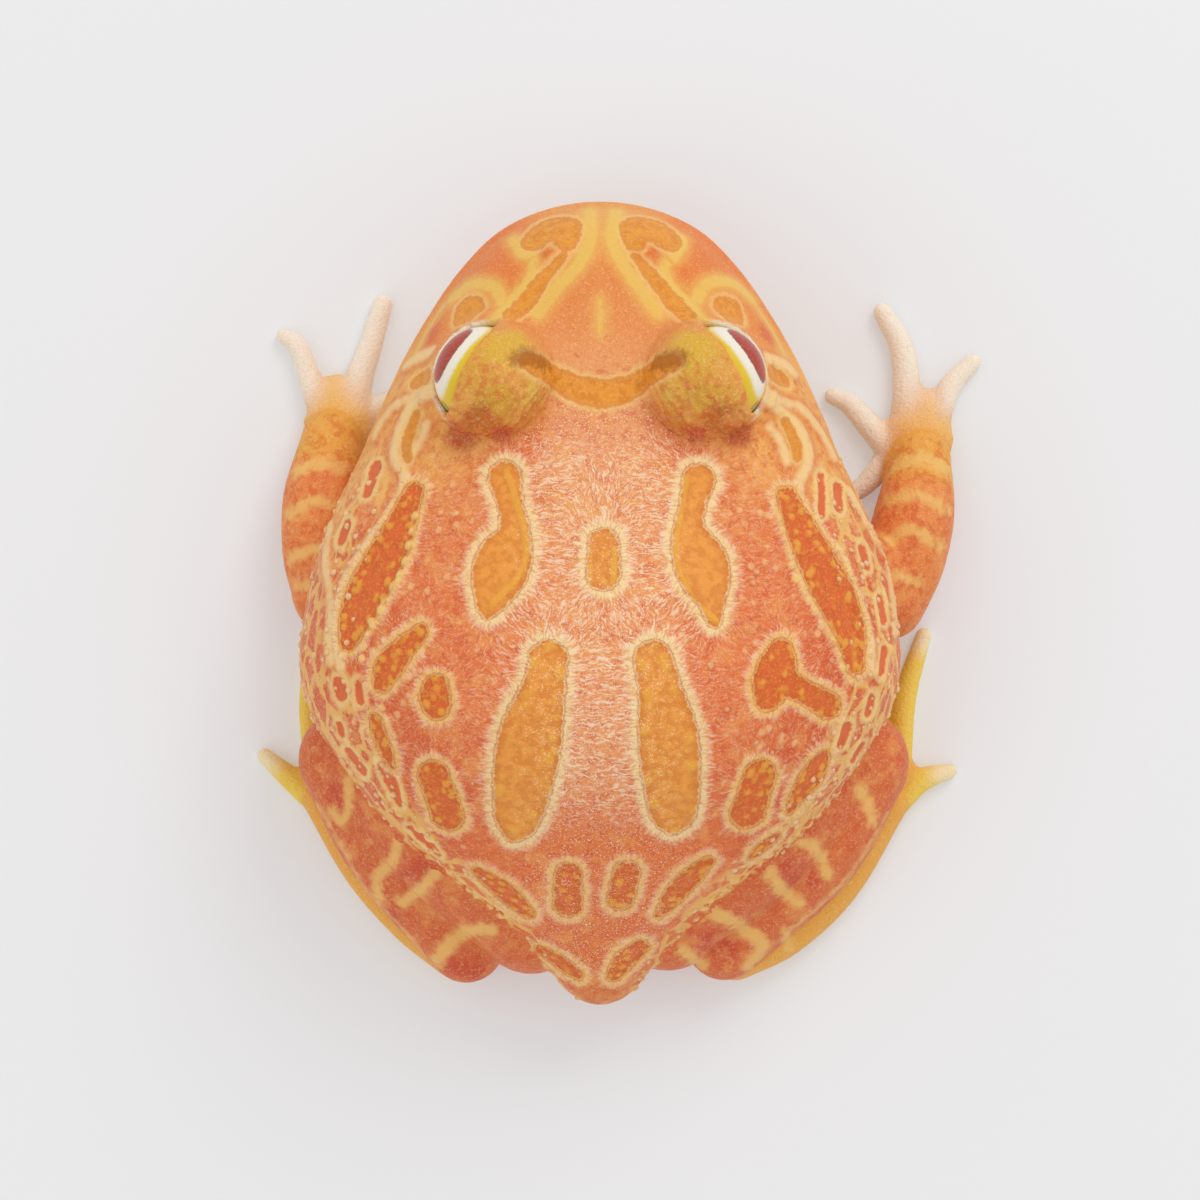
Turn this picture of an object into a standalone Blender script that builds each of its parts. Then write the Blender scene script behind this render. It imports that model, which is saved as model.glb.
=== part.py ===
"""Argentine horned frog at rest, life size, as a still display model in named pieces.

The body is one smooth trunk, parted at the mouth line and behind the jaw. The limbs
are tapered tubes along their bones, the digits and webs grow from the palms and
soles, and every piece is trimmed clear of its neighbours by a thin gap.

Metres in the scene, millimetres in the tables below, +Z up. The frog faces -Y, its
own left side is +X, and the origin lies on the floor under the middle of its belly.
"""

from math import acos, cos, exp, pi, radians, sin

import bmesh
import bpy
from mathutils import Euler, Matrix, Vector

MM = 0.001
GAP = 0.3
BEYOND = 20.0
SHARP_ANGLE = 35

# Driving dimensions of the trunk
LENGTH = 101.5
HALF_WIDTH = 37.4
BACK_HEIGHT = 46.0
SNOUT_Y = -49.9
NECK_Y = -13.0

# Trunk sections: share of the length from the snout, half width as a share of the
# greatest one, then top, underside and widest level as shares of the back's height,
# then how round the upper and the lower half are, 2 being an ellipse.
SECTIONS = (
    (0.000, 0.000, 0.272, 0.272, 0.272, 2.0, 2.0),
    (0.030, 0.305, 0.490, 0.140, 0.272, 2.0, 2.1),
    (0.080, 0.452, 0.600, 0.070, 0.274, 2.1, 2.2),
    (0.150, 0.582, 0.680, 0.017, 0.283, 2.3, 2.2),
    (0.220, 0.686, 0.732, -0.006, 0.296, 2.5, 2.2),
    (0.300, 0.790, 0.785, -0.012, 0.315, 2.4, 2.2),
    (0.400, 0.914, 0.895, -0.012, 0.348, 2.2, 2.2),
    (0.500, 0.992, 0.978, -0.012, 0.376, 2.1, 2.2),
    (0.600, 1.000, 1.000, -0.012, 0.402, 2.1, 2.1),
    (0.700, 0.855, 0.920, -0.012, 0.435, 2.1, 1.9),
    (0.785, 0.652, 0.755, 0.010, 0.440, 2.2, 1.7),
    (0.850, 0.430, 0.610, 0.040, 0.390, 2.2, 1.7),
    (0.910, 0.262, 0.470, 0.075, 0.315, 2.1, 1.8),
    (0.955, 0.172, 0.378, 0.105, 0.255, 2.0, 2.0),
    (0.983, 0.112, 0.315, 0.140, 0.230, 2.0, 2.0),
    (1.000, 0.000, 0.225, 0.225, 0.225, 2.0, 2.0),
)
TRUNK_RINGS = 38
TRUNK_SIDES = 40
SIDE_CROWDING = 0.5

# The upper lip swells above the mouth line, and the lower jaw closes a little inside it
LIP_PROUD = 0.7
LIP_RISE = 1.3
LIP_SPREAD = 1.5
MOUTH_CORNER_Y = -15.0
JAW_INSET = 0.6

# Eyes, as on the frog's left
EYE_CENTRE = Vector((14.1, -27.3, 33.4))
EYE_RADIUS = 6.2
EYE_FORWARD = 30
EYE_UP = 28
EYE_SEGMENTS = 18
EYE_RINGS = 12
LID_CENTRE = Vector((13.1, -27.1, 33.2))
LID_SIZE = Vector((7.8, 7.6, 8.0))
LID_OPENING = Vector((7.0, 8.6, 4.7))
ORBIT_CENTRE = Vector((13.6, -26.6, 27.6))
ORBIT_SIZE = Vector((8.0, 10.4, 6.8))
ORBIT_YAW = -32
ORBIT_SEGMENTS = 14
ORBIT_RINGS = 8
NOSTRIL = Vector((5.4, -43.6, 25.3))
NOSTRIL_RIM = Vector((1.7, 2.1, 1.1))
NOSTRIL_PIT = Vector((0.55, 0.95, 1.6))
NOSTRIL_PIT_SHIFT = Vector((0.3, -0.5, 1.1))
NOSTRIL_PITCH = -35
NOSTRIL_YAW = -16
NOSTRIL_SEGMENTS = 10
NOSTRIL_RINGS = 6

# Limbs: centre line and radius at each joint or belly of a muscle
ARMS = {
    "left": {
        "upper_arm": (((28.0, -7.0, 14.0), 5.6), ((31.5, -4.0, 10.5), 5.4), ((34.4, -1.2, 7.4), 5.2)),
        "forearm": (
            ((34.4, -0.6, 6.6), 5.0),
            ((35.3, -6.5, 6.6), 5.5),
            ((35.4, -13.0, 5.8), 5.3),
            ((34.6, -20.5, 3.6), 4.0),
        ),
        "palm": (((34.0, -19.6, 2.6), 3.6), ((33.7, -23.2, 1.9), 4.7), ((34.0, -25.4, 1.5), 3.9)),
        "fingers": (
            (((30.6, -21.5), 1.5), ((27.6, -21.3), 1.35), ((24.6, -19.6), 1.0)),
            (((31.0, -23.0), 1.7), ((27.6, -25.6), 1.45), ((23.8, -28.2), 1.1)),
            (((31.6, -22.6), 2.2), ((31.3, -28.0), 1.9), ((29.6, -33.3), 1.55), ((28.2, -38.2), 1.35)),
            (((36.1, -25.0), 1.9), ((37.9, -29.6), 1.5), ((39.3, -33.0), 1.25), ((41.0, -34.2), 1.0)),
        ),
    },
    "right": {
        "upper_arm": (((-28.5, -7.0, 14.0), 5.6), ((-33.0, -3.6, 10.5), 5.4), ((-36.6, -0.4, 7.4), 5.2)),
        "forearm": (
            ((-36.8, 0.2, 6.6), 5.0),
            ((-39.0, -5.5, 6.6), 5.4),
            ((-40.5, -11.5, 5.8), 5.1),
            ((-41.3, -18.0, 3.7), 4.0),
        ),
        "palm": (((-41.2, -17.4, 2.6), 3.7), ((-41.2, -21.2, 1.9), 4.6), ((-41.8, -23.8, 1.5), 3.8)),
        "fingers": (
            (((-37.4, -18.6), 1.7), ((-34.4, -15.0), 1.4), ((-30.8, -12.6), 1.0)),
            (((-37.6, -19.6), 2.0), ((-34.6, -22.9), 1.65), ((-32.2, -25.5), 1.4), ((-30.2, -26.4), 1.15)),
            (((-39.4, -21.0), 2.2), ((-39.7, -27.0), 1.9), ((-39.0, -32.8), 1.6), ((-36.6, -37.3), 1.25)),
            (((-43.6, -23.9), 1.9), ((-45.4, -27.8), 1.5), ((-48.3, -30.8), 1.15)),
        ),
    },
}
LEGS = {
    "left": {
        "thigh": (((8.8, 40.4, 9.0), 7.4), ((20.0, 28.5, 12.5), 9.0), ((29.6, 20.6, 10.8), 6.4)),
        "shank": (((31.8, 20.3, 8.2), 6.8), ((25.8, 31.0, 8.2), 7.2), ((17.2, 44.2, 5.4), 5.0)),
        "tarsus": (
            ((18.4, 45.2, 3.3), 3.7),
            ((24.0, 41.0, 3.1), 3.5),
            ((30.0, 34.4, 2.9), 3.3),
            ((35.4, 25.9, 2.3), 2.9),
        ),
        "sole": (((34.6, 26.6, 1.9), 3.0), ((35.6, 22.4, 1.6), 3.4)),
        "toes": (
            (((34.0, 23.0), 1.5), ((30.5, 19.8), 1.4), ((27.6, 18.2), 1.0)),
            (((34.6, 22.0), 1.5), ((30.6, 16.0), 1.4), ((27.6, 12.2), 1.0)),
            (((35.4, 21.6), 1.6), ((33.0, 13.6), 1.4), ((31.2, 7.4), 1.0)),
            (((36.6, 21.8), 1.7), ((37.5, 13.2), 1.5), ((36.9, 4.8), 1.05)),
            (((36.6, 26.0), 1.8), ((39.4, 23.6), 1.6), ((43.4, 20.2), 1.05)),
        ),
    },
    "right": {
        "thigh": (((-8.6, 40.2, 9.0), 7.2), ((-19.5, 29.0, 12.5), 9.0), ((-30.2, 21.0, 10.8), 6.4)),
        "shank": (((-32.8, 20.8, 8.2), 6.8), ((-26.6, 31.5, 8.2), 7.0), ((-16.0, 43.9, 5.4), 5.0)),
        "tarsus": (
            ((-17.4, 45.4, 3.3), 3.7),
            ((-23.6, 42.6, 3.1), 3.5),
            ((-30.4, 36.4, 2.9), 3.3),
            ((-36.8, 26.4, 2.3), 2.9),
        ),
        "sole": (((-36.2, 26.6, 1.9), 3.0), ((-37.4, 22.6, 1.6), 3.4)),
        "toes": (
            (((-35.6, 23.2), 1.5), ((-31.6, 20.2), 1.4), ((-28.6, 18.8), 1.0)),
            (((-36.2, 22.2), 1.5), ((-31.8, 16.4), 1.4), ((-28.6, 12.8), 1.0)),
            (((-37.0, 21.8), 1.6), ((-34.6, 14.0), 1.4), ((-33.0, 7.6), 1.0)),
            (((-38.6, 22.0), 1.7), ((-39.5, 12.6), 1.5), ((-41.9, 4.6), 1.05)),
            (((-38.4, 26.2), 1.8), ((-41.4, 23.4), 1.6), ((-45.2, 22.2), 1.05)),
        ),
    },
}
LIMB_SIDES = 12
DIGIT_SIDES = 8
LIMB_STEPS = 4
DIGIT_STEPS = 2
LIMB_CAP_RINGS = 3
DIGIT_CAP_RINGS = 2
PALM_FLATNESS = 0.62
DIGIT_LIFT = 0.86

# Webs: the two digits that each one joins, and the share of each that it reaches along
HAND_WEBS = ((1, 2, 0.26, 0.30), (2, 3, 0.40, 0.45))
FOOT_WEBS = ((0, 1, 0.60, 0.50), (1, 2, 0.60, 0.60), (2, 3, 0.70, 0.60), (3, 4, 0.75, 0.62))
WEB_SAG = 0.42
WEB_LEVEL = 0.9
WEB_THICKNESS = 0.7
WEB_STEPS = 8
WEB_COLUMNS = 4
WEB_ROWS = 3

FINISHES = {
    "back_skin": ("E8793F", 0.42),
    "leg_skin": ("E2743E", 0.42),
    "digit_skin": ("F3D9B5", 0.38),
    "foot_skin": ("EBAA3E", 0.38),
    "lid_skin": ("DDA244", 0.40),
    "jaw_skin": ("EFC98E", 0.42),
    "eye": ("B4483B", 0.08),
}


def clear_scene():
    for obj in list(bpy.data.objects):
        bpy.data.objects.remove(obj, do_unlink=True)


def smooth_value(keys, values, at):
    """Cubic through the values at rising keys, with each slope taken from its neighbours."""
    last = len(keys) - 1
    i = max(k for k in range(last) if k == 0 or keys[k] <= at)
    span = keys[i + 1] - keys[i]
    t = (at - keys[i]) / span

    def slope(k):
        low, high = max(k - 1, 0), min(k + 1, last)
        return (values[high] - values[low]) / (keys[high] - keys[low])

    rise = values[i + 1] - values[i]
    m0, m1 = slope(i) * span, slope(i + 1) * span
    return values[i] + m0 * t + (3 * rise - 2 * m0 - m1) * t**2 + (m0 + m1 - 2 * rise) * t**3


def angle_of(share):
    """Turns a share of the length into an angle, so that both ends of the trunk close round."""
    return acos(1 - 2 * share)


SECTION_ANGLES = [angle_of(row[0]) for row in SECTIONS]


def section_at(angle):
    """Half width, top, underside and widest level in mm, then the two roundness powers."""
    shares = [smooth_value(SECTION_ANGLES, [row[c] for row in SECTIONS], angle) for c in range(1, 7)]
    return [shares[0] * HALF_WIDTH] + [s * BACK_HEIGHT for s in shares[1:4]] + shares[4:]


def section_at_y(y):
    share = min(max((y - SNOUT_Y) / LENGTH, 0), 1)
    return section_at(angle_of(share))


def outline_normal(angle):
    """The outward way in plan from the trunk's outline on the frog's left."""
    step = 0.01
    low, high = max(angle - step, 0), min(angle + step, pi)
    across = section_at(high)[0] - section_at(low)[0]
    along = LENGTH * (cos(low) - cos(high)) / 2
    return Vector((along, -across)).normalized()


def lip_swell(y, above):
    """How far the upper lip stands out at a height above the mouth line."""
    if above < 0:
        return 0.0
    fade = min(max((MOUTH_CORNER_Y - y) / -MOUTH_CORNER_Y, 0), 1)
    return LIP_PROUD * fade * exp(-(((above - LIP_RISE) / LIP_SPREAD) ** 2))


def new_object(name, points, faces):
    """A closed mesh from points in mm, its faces cut into triangles so that each is flat."""
    mesh = bpy.data.meshes.new(name)
    mesh.from_pydata([Vector(p) * MM for p in points], [], faces)
    work = bmesh.new()
    work.from_mesh(mesh)
    bmesh.ops.triangulate(work, faces=work.faces)
    bmesh.ops.recalc_face_normals(work, faces=work.faces)
    work.to_mesh(mesh)
    work.free()
    obj = bpy.data.objects.new(name, mesh)
    bpy.context.scene.collection.objects.link(obj)
    return obj


def skinned_rings(name, rings, start, end):
    """A closed mesh over equal rings of points, drawn in to a point at each end."""
    sides = len(rings[0])
    points = [start] + [p for ring in rings for p in ring] + [end]
    tail = len(points) - 1
    faces = []
    for k in range(sides):
        n = (k + 1) % sides
        faces.append((0, 1 + n, 1 + k))
        for r in range(len(rings) - 1):
            a, b = 1 + r * sides, 1 + (r + 1) * sides
            faces.append((a + k, a + n, b + n, b + k))
        a = 1 + (len(rings) - 1) * sides
        faces.append((a + k, a + n, tail))
    return new_object(name, points, faces)


def on_floor(points, grow):
    """Presses a piece flat on the floor. A cutter, which is grown, reaches through it."""
    if grow > 0:
        return points
    return [Vector((p[0], p[1], max(p[2], 0.0))) for p in points]


def trunk(name, grow=0.0):
    """Head and body in one, from the snout to the vent."""
    rings = []
    for i in range(1, TRUNK_RINGS):
        angle = pi * i / TRUNK_RINGS
        half, top, low, level, round_up, round_down = section_at(angle)
        y = SNOUT_Y + LENGTH * (1 - cos(angle)) / 2
        outward = outline_normal(angle)
        ring = []
        for k in range(TRUNK_SIDES):
            turn = 2 * pi * k / TRUNK_SIDES
            turn -= SIDE_CROWDING * sin(2 * turn) / 2
            c, s = cos(turn), sin(turn)
            power = 2 / (round_up if s >= 0 else round_down)
            reach = (top - level + grow) if s >= 0 else (level - low + grow)
            x = (half + grow) * abs(c) ** power * (1 if c >= 0 else -1)
            z = level + reach * abs(s) ** power * (1 if s >= 0 else -1)
            proud = lip_swell(y, z - level)
            side = 1 if x >= 0 else -1
            ring.append(Vector((x + side * outward.x * proud, y + outward.y * proud - grow * cos(angle), z)))
        rings.append(on_floor(ring, grow))
    front, back = section_at(0.0), section_at(pi)
    start = Vector((0, SNOUT_Y - lip_swell(SNOUT_Y, 0) - grow, front[3]))
    end = Vector((0, SNOUT_Y + LENGTH + grow, back[3]))
    return skinned_rings(name, rings, start, end)


def smooth_path(joints, steps):
    """Points and radii along a smooth line through the joints."""
    places = [0.0]
    for (a, _), (b, _) in zip(joints, joints[1:]):
        places.append(places[-1] + (Vector(b) - Vector(a)).length)
    found = []
    for i in range(len(joints) - 1):
        for j in range(steps):
            found.append(places[i] + (places[i + 1] - places[i]) * j / steps)
    found.append(places[-1])
    path = []
    for at in found:
        point = Vector([smooth_value(places, [j[0][c] for j in joints], at) for c in range(3)])
        path.append((point, smooth_value(places, [j[1] for j in joints], at)))
    return path


def tube(name, joints, sides=LIMB_SIDES, steps=LIMB_STEPS, caps=LIMB_CAP_RINGS, flatness=1.0, grow=0.0):
    """A tapered limb with round ends, along a smooth line through its joints."""
    path = smooth_path(joints, steps)
    line = [p for p, _ in path]
    ways = [(line[min(i + 1, len(line) - 1)] - line[max(i - 1, 0)]).normalized() for i in range(len(line))]
    spine = [(p, way, r + grow) for (p, r), way in zip(path, ways)]
    first, last = spine[0], spine[-1]
    for k in range(caps - 1, 0, -1):
        turn = pi / 2 * k / caps
        spine.append((last[0] + last[1] * last[2] * cos(turn), last[1], last[2] * sin(turn)))
        spine.insert(0, (first[0] - first[1] * first[2] * cos(turn), first[1], first[2] * sin(turn)))
    rings = []
    for centre, way, radius in spine:
        across = way.cross(Vector((0, 0, 1))).normalized()
        upward = across.cross(way)
        ring = []
        for k in range(sides):
            turn = 2 * pi * (k + 0.5) / sides
            ring.append(centre + across * radius * cos(turn) + upward * radius * flatness * sin(turn))
        rings.append(on_floor(ring, grow))
    start = first[0] - first[1] * first[2]
    end = last[0] + last[1] * last[2]
    return skinned_rings(name, rings, *on_floor([start, end], grow))


def digit_joints(line):
    """A digit's joints in space: it lies on the floor, pressed a little flat."""
    return [((x, y, radius * DIGIT_LIFT), radius) for (x, y), radius in line]


def digit(name, line, grow=0.0):
    return tube(name, digit_joints(line), DIGIT_SIDES, DIGIT_STEPS, DIGIT_CAP_RINGS, grow=grow)


def web(name, first, second, first_reach, second_reach):
    """A thin skin between two digits, its free edge hanging back between them."""
    sides = []
    for line, reach in ((first, first_reach), (second, second_reach)):
        path = [p for p, _ in smooth_path(digit_joints(line), WEB_STEPS)]
        last = max(2, round(reach * (len(path) - 1)))
        sides.append(path[: last + 1])

    def along(path, share):
        place = share * (len(path) - 1)
        i = min(int(place), len(path) - 2)
        return path[i].lerp(path[i + 1], place - i)

    across, rows = WEB_COLUMNS, WEB_ROWS
    layers = []
    for half in (-0.5, 0.5):
        layer = []
        for i in range(rows + 1):
            for j in range(across + 1):
                u = j / across
                share = i / rows * (1 - WEB_SAG * 4 * u * (1 - u))
                point = along(sides[0], share).lerp(along(sides[1], share), u)
                layer.append(Vector((point.x, point.y, WEB_LEVEL + half * WEB_THICKNESS)))
        layers.append(layer)
    width = across + 1
    count = (rows + 1) * width
    edge = [j for j in range(width)]
    edge += [i * width + across for i in range(1, rows + 1)]
    edge += [rows * width + j for j in range(across - 1, -1, -1)]
    edge += [i * width for i in range(rows - 1, 0, -1)]
    faces = []
    for i in range(rows):
        for j in range(across):
            a, b = i * width + j, (i + 1) * width + j
            for corner in ((a, a + 1, b + 1), (a, b + 1, b)):
                faces.append(corner)
                faces.append(tuple(count + c for c in reversed(corner)))
    for a, b in zip(edge, edge[1:] + edge[:1]):
        faces.append((a, b, count + b))
        faces.append((a, count + b, count + a))
    return new_object(name, layers[0] + layers[1], faces)


def ball(name, centre, size, turned=Matrix.Identity(3), segments=EYE_SEGMENTS, rings=EYE_RINGS):
    """An ellipsoid with half axes in mm, about a centre in mm."""
    mesh = bpy.data.meshes.new(name)
    work = bmesh.new()
    bmesh.ops.create_uvsphere(work, u_segments=segments, v_segments=rings, radius=1.0)
    for vert in work.verts:
        scaled = Vector(c * s for c, s in zip(vert.co, size))
        vert.co = (turned @ scaled + centre) * MM
    bmesh.ops.triangulate(work, faces=work.faces)
    work.to_mesh(mesh)
    work.free()
    obj = bpy.data.objects.new(name, mesh)
    bpy.context.scene.collection.objects.link(obj)
    return obj


def block(name, y_from, y_to, floor_of, roof_of, steps=12):
    """A block wider than the trunk, between two levels that may rise along its length."""
    reach = HALF_WIDTH + BEYOND
    points, faces = [], []
    for i in range(steps + 1):
        y = y_from + (y_to - y_from) * i / steps
        for x, z in ((-reach, floor_of(y)), (reach, floor_of(y)), (reach, roof_of(y)), (-reach, roof_of(y))):
            points.append(Vector((x, y, z)))
    for i in range(steps):
        a, b = 4 * i, 4 * (i + 1)
        for k in range(4):
            n = (k + 1) % 4
            faces.append((a + k, a + n, b + n, b + k))
    faces.append((3, 2, 1, 0))
    faces.append(tuple(4 * steps + k for k in range(4)))
    return new_object(name, points, faces)


def keep_largest_body(mesh):
    """Drops every closed surface but the largest, such as a scrap that a cut leaves."""
    work = bmesh.new()
    work.from_mesh(mesh)
    work.verts.ensure_lookup_table()
    left = set(work.verts)
    bodies = []
    while left:
        start = left.pop()
        body, edge = {start}, [start]
        while edge:
            for link in edge.pop().link_edges:
                for vert in link.verts:
                    if vert in left:
                        left.discard(vert)
                        body.add(vert)
                        edge.append(vert)
        bodies.append(body)

    def volume(body):
        total = 0.0
        for face in {f for v in body for f in v.link_faces}:
            a, b, c = (v.co for v in face.verts[:3])
            total += a.dot(b.cross(c))
        return abs(total)

    if len(bodies) > 1:
        bodies.sort(key=volume)
        scraps = [v for body in bodies[:-1] for v in body]
        bmesh.ops.delete(work, geom=scraps, context="VERTS")
    work.to_mesh(mesh)
    work.free()


def boolean(obj, operation, others, solver="EXACT"):
    """Joins others to obj, or cuts them from it, and removes them."""
    group = bpy.data.collections.new("boolean_group")
    for other in others:
        group.objects.link(other)
    modifier = obj.modifiers.new("boolean", "BOOLEAN")
    modifier.operation = operation
    modifier.solver = solver
    modifier.operand_type = "COLLECTION"
    modifier.collection = group
    graph = bpy.context.evaluated_depsgraph_get()
    mesh = bpy.data.meshes.new_from_object(obj.evaluated_get(graph))
    obj.modifiers.clear()
    obj.data = mesh
    for other in others:
        bpy.data.objects.remove(other, do_unlink=True)
    bpy.data.collections.remove(group)
    work = bmesh.new()
    work.from_mesh(mesh)
    bmesh.ops.triangulate(work, faces=work.faces)
    work.to_mesh(mesh)
    work.free()
    keep_largest_body(mesh)
    return obj


def cut(obj, others):
    return boolean(obj, "DIFFERENCE", others)


def join(obj, others):
    return boolean(obj, "UNION", others)


def finish(obj, finish_name):
    """Gives a piece its paint and rounds its shading."""
    hex_colour, roughness = FINISHES[finish_name]
    material = bpy.data.materials.get(finish_name)
    if material is None:
        material = bpy.data.materials.new(finish_name)
        material.use_nodes = True
        shader = material.node_tree.nodes["Principled BSDF"]
        channels = [int(hex_colour[i : i + 2], 16) / 255 for i in (0, 2, 4)]
        shader.inputs["Base Color"].default_value = [c**2.2 for c in channels] + [1.0]
        shader.inputs["Roughness"].default_value = roughness
        shader.inputs["Metallic"].default_value = 0.0
    obj.data.materials.clear()
    obj.data.materials.append(material)
    obj.data.shade_smooth()
    obj.data.set_sharp_from_angle(angle=radians(SHARP_ANGLE))
    return obj


def mirrored(point, side):
    return Vector((point.x * side, point.y, point.z))


def eye_turn(side):
    """Turns X to the way an eye looks, keeping its Y level."""
    across = radians(-EYE_FORWARD) if side > 0 else radians(180 + EYE_FORWARD)
    return Euler((0, radians(-EYE_UP), across)).to_matrix()


def lip_level(y):
    return section_at_y(y)[3]


def nostril(name, side, size, shift=Vector((0, 0, 0))):
    tilt = Euler((radians(NOSTRIL_PITCH), 0, radians(NOSTRIL_YAW * side))).to_matrix()
    return ball(name, mirrored(NOSTRIL + shift, side), size, tilt, NOSTRIL_SEGMENTS, NOSTRIL_RINGS)


def make_trunk_pieces():
    """Parts the trunk at the mouth line and behind the jaw into head, lower jaw and torso."""
    sky, ground = (lambda y: BACK_HEIGHT + BEYOND), (lambda y: -BEYOND)
    half = GAP / 2
    upper = block("upper", SNOUT_Y - BEYOND, NECK_Y - half, lambda y: lip_level(y) + half, sky)
    lower = block("lower", SNOUT_Y - BEYOND, NECK_Y - half, ground, lambda y: lip_level(y) - half)
    rear = block("rear", NECK_Y + half, SNOUT_Y + LENGTH + BEYOND, ground, sky, 1)

    finish(boolean(trunk("torso"), "INTERSECT", [rear]), "back_skin")
    finish(boolean(trunk("lower_jaw", -JAW_INSET), "INTERSECT", [lower]), "jaw_skin")

    mounds = []
    for side in (1, -1):
        mounds += [nostril("rim", side, NOSTRIL_RIM), orbit(side)]
    head = boolean(join(trunk("head"), mounds), "INTERSECT", [upper])
    holes = []
    for side in (1, -1):
        holes += [nostril("pit", side, NOSTRIL_PIT, NOSTRIL_PIT_SHIFT), eye_ball("socket", side, GAP)]
    finish(cut(head, holes), "back_skin")


def eye_ball(name, side, grow=0.0):
    return ball(name, mirrored(EYE_CENTRE, side), Vector((EYE_RADIUS + grow,) * 3), eye_turn(side))


def orbit(side, grow=0.0):
    """The swelling of the head that carries an eye and its lid."""
    size = ORBIT_SIZE + Vector((grow,) * 3)
    turned = Euler((0, 0, radians(ORBIT_YAW * side))).to_matrix()
    return ball("orbit", mirrored(ORBIT_CENTRE, side), size, turned, ORBIT_SEGMENTS, ORBIT_RINGS)


def make_eye(side_name, side):
    """An eyeball, and over it a domed lid with an almond opening."""
    finish(eye_ball(f"eye_{side_name}", side), "eye")
    turned = eye_turn(side)
    ahead = mirrored(EYE_CENTRE, side) + turned @ Vector((LID_OPENING.x, 0, 0))
    opening = ball("opening", ahead, LID_OPENING, turned)
    lid = ball(f"eyelid_{side_name}", mirrored(LID_CENTRE, side), LID_SIZE)
    cut(lid, [opening, eye_ball("socket", side, GAP), orbit(side, GAP), trunk("skull", GAP)])
    finish(lid, "lid_skin")


def make_digits(kind, side_name, lines, root, skin, obstacles):
    """Fingers or toes, each its own piece, meeting the palm or sole at its root."""
    for number, line in enumerate(lines, 1):
        piece = digit(f"{kind}_{side_name}_{number}", line)
        earlier = [digit("earlier", other, GAP) for other in lines[: number - 1]]
        cut(piece, [root(GAP)] + [make(GAP) for make in obstacles] + earlier)
        finish(piece, skin)


def make_webs(rows, lines):
    """The webs of one hand or foot, trimmed clear of every digit."""
    webs = []
    for first, second, first_reach, second_reach in rows:
        sheet = web("web", lines[first], lines[second], first_reach, second_reach)
        cut(sheet, [digit("digit", line, GAP) for line in lines])
        webs.append(sheet)
    return webs


def make_arm(side_name, arm):
    body = lambda grow: trunk("body", grow)
    upper = lambda grow=0.0: tube(f"upper_arm_{side_name}", arm["upper_arm"], grow=grow)
    fore = lambda grow=0.0: tube(f"forearm_{side_name}", arm["forearm"], grow=grow)
    palm = lambda grow=0.0: tube(f"hand_{side_name}", arm["palm"], flatness=PALM_FLATNESS, grow=grow)

    finish(cut(upper(), [body(GAP)]), "leg_skin")
    finish(cut(fore(), [body(GAP), upper(GAP)]), "leg_skin")
    hand = join(palm(), make_webs(HAND_WEBS, arm["fingers"]))
    finish(cut(hand, [body(GAP), fore(GAP)]), "foot_skin")
    make_digits("finger", side_name, arm["fingers"], palm, "digit_skin", [body, fore])


def make_leg(side_name, leg):
    body = lambda grow: trunk("body", grow)
    thigh = lambda grow=0.0: tube(f"thigh_{side_name}", leg["thigh"], grow=grow)
    shank = lambda grow=0.0: tube(f"shank_{side_name}", leg["shank"], grow=grow)
    tarsus = lambda grow=0.0: tube(f"foot_{side_name}", leg["tarsus"], grow=grow)
    sole = lambda grow=0.0: tube(f"sole_{side_name}", leg["sole"], flatness=PALM_FLATNESS, grow=grow)

    finish(cut(shank(), [body(GAP)]), "leg_skin")
    finish(cut(thigh(), [body(GAP), shank(GAP)]), "leg_skin")
    foot = join(tarsus(), [sole()] + make_webs(FOOT_WEBS, leg["toes"]))
    finish(cut(foot, [body(GAP), thigh(GAP), shank(GAP)]), "foot_skin")
    make_digits("toe", side_name, leg["toes"], sole, "foot_skin", [body, thigh, shank, tarsus])


def main():
    clear_scene()
    make_trunk_pieces()
    for side_name, side in (("left", 1), ("right", -1)):
        make_eye(side_name, side)
        make_arm(side_name, ARMS[side_name])
        make_leg(side_name, LEGS[side_name])


main()
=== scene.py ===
"""Argentine horned frog at rest: one warty skin, its markings, its eyes and the light it is seen in.

The skin is built from the same sections, limbs and digits as the solids, melted into one
surface, then creased, warted and painted with attributes that its material reads.
Millimetres in the tables and in the shape code, metres in the scene. The frog faces -Y,
its own left side is +X, and the floor is at z = 0.
"""

from functools import partial
from math import acos, cos, exp, pi, radians, sin

import bmesh
import bpy
import numpy as np
from bpy.props import FloatProperty, FloatVectorProperty, IntProperty, PointerProperty
from bpy.types import Operator, Panel, PropertyGroup
from mathutils import Euler, Matrix, Vector, noise
from mathutils.bvhtree import BVHTree


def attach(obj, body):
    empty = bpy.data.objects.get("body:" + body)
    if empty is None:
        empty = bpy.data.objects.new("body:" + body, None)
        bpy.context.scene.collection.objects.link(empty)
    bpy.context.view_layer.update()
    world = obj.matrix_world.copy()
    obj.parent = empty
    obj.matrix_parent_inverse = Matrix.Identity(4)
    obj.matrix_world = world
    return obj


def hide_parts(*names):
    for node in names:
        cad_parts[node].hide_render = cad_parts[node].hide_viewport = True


bl_info = {
    "name": "Horned Frog Model",
    "version": (1, 0, 0),
    "blender": (4, 5, 0),
    "location": "3D View > Sidebar > Frog",
    "description": "Builds the skin, eyes and stage of a life-size horned frog",
    "category": "Add Mesh",
}

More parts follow.
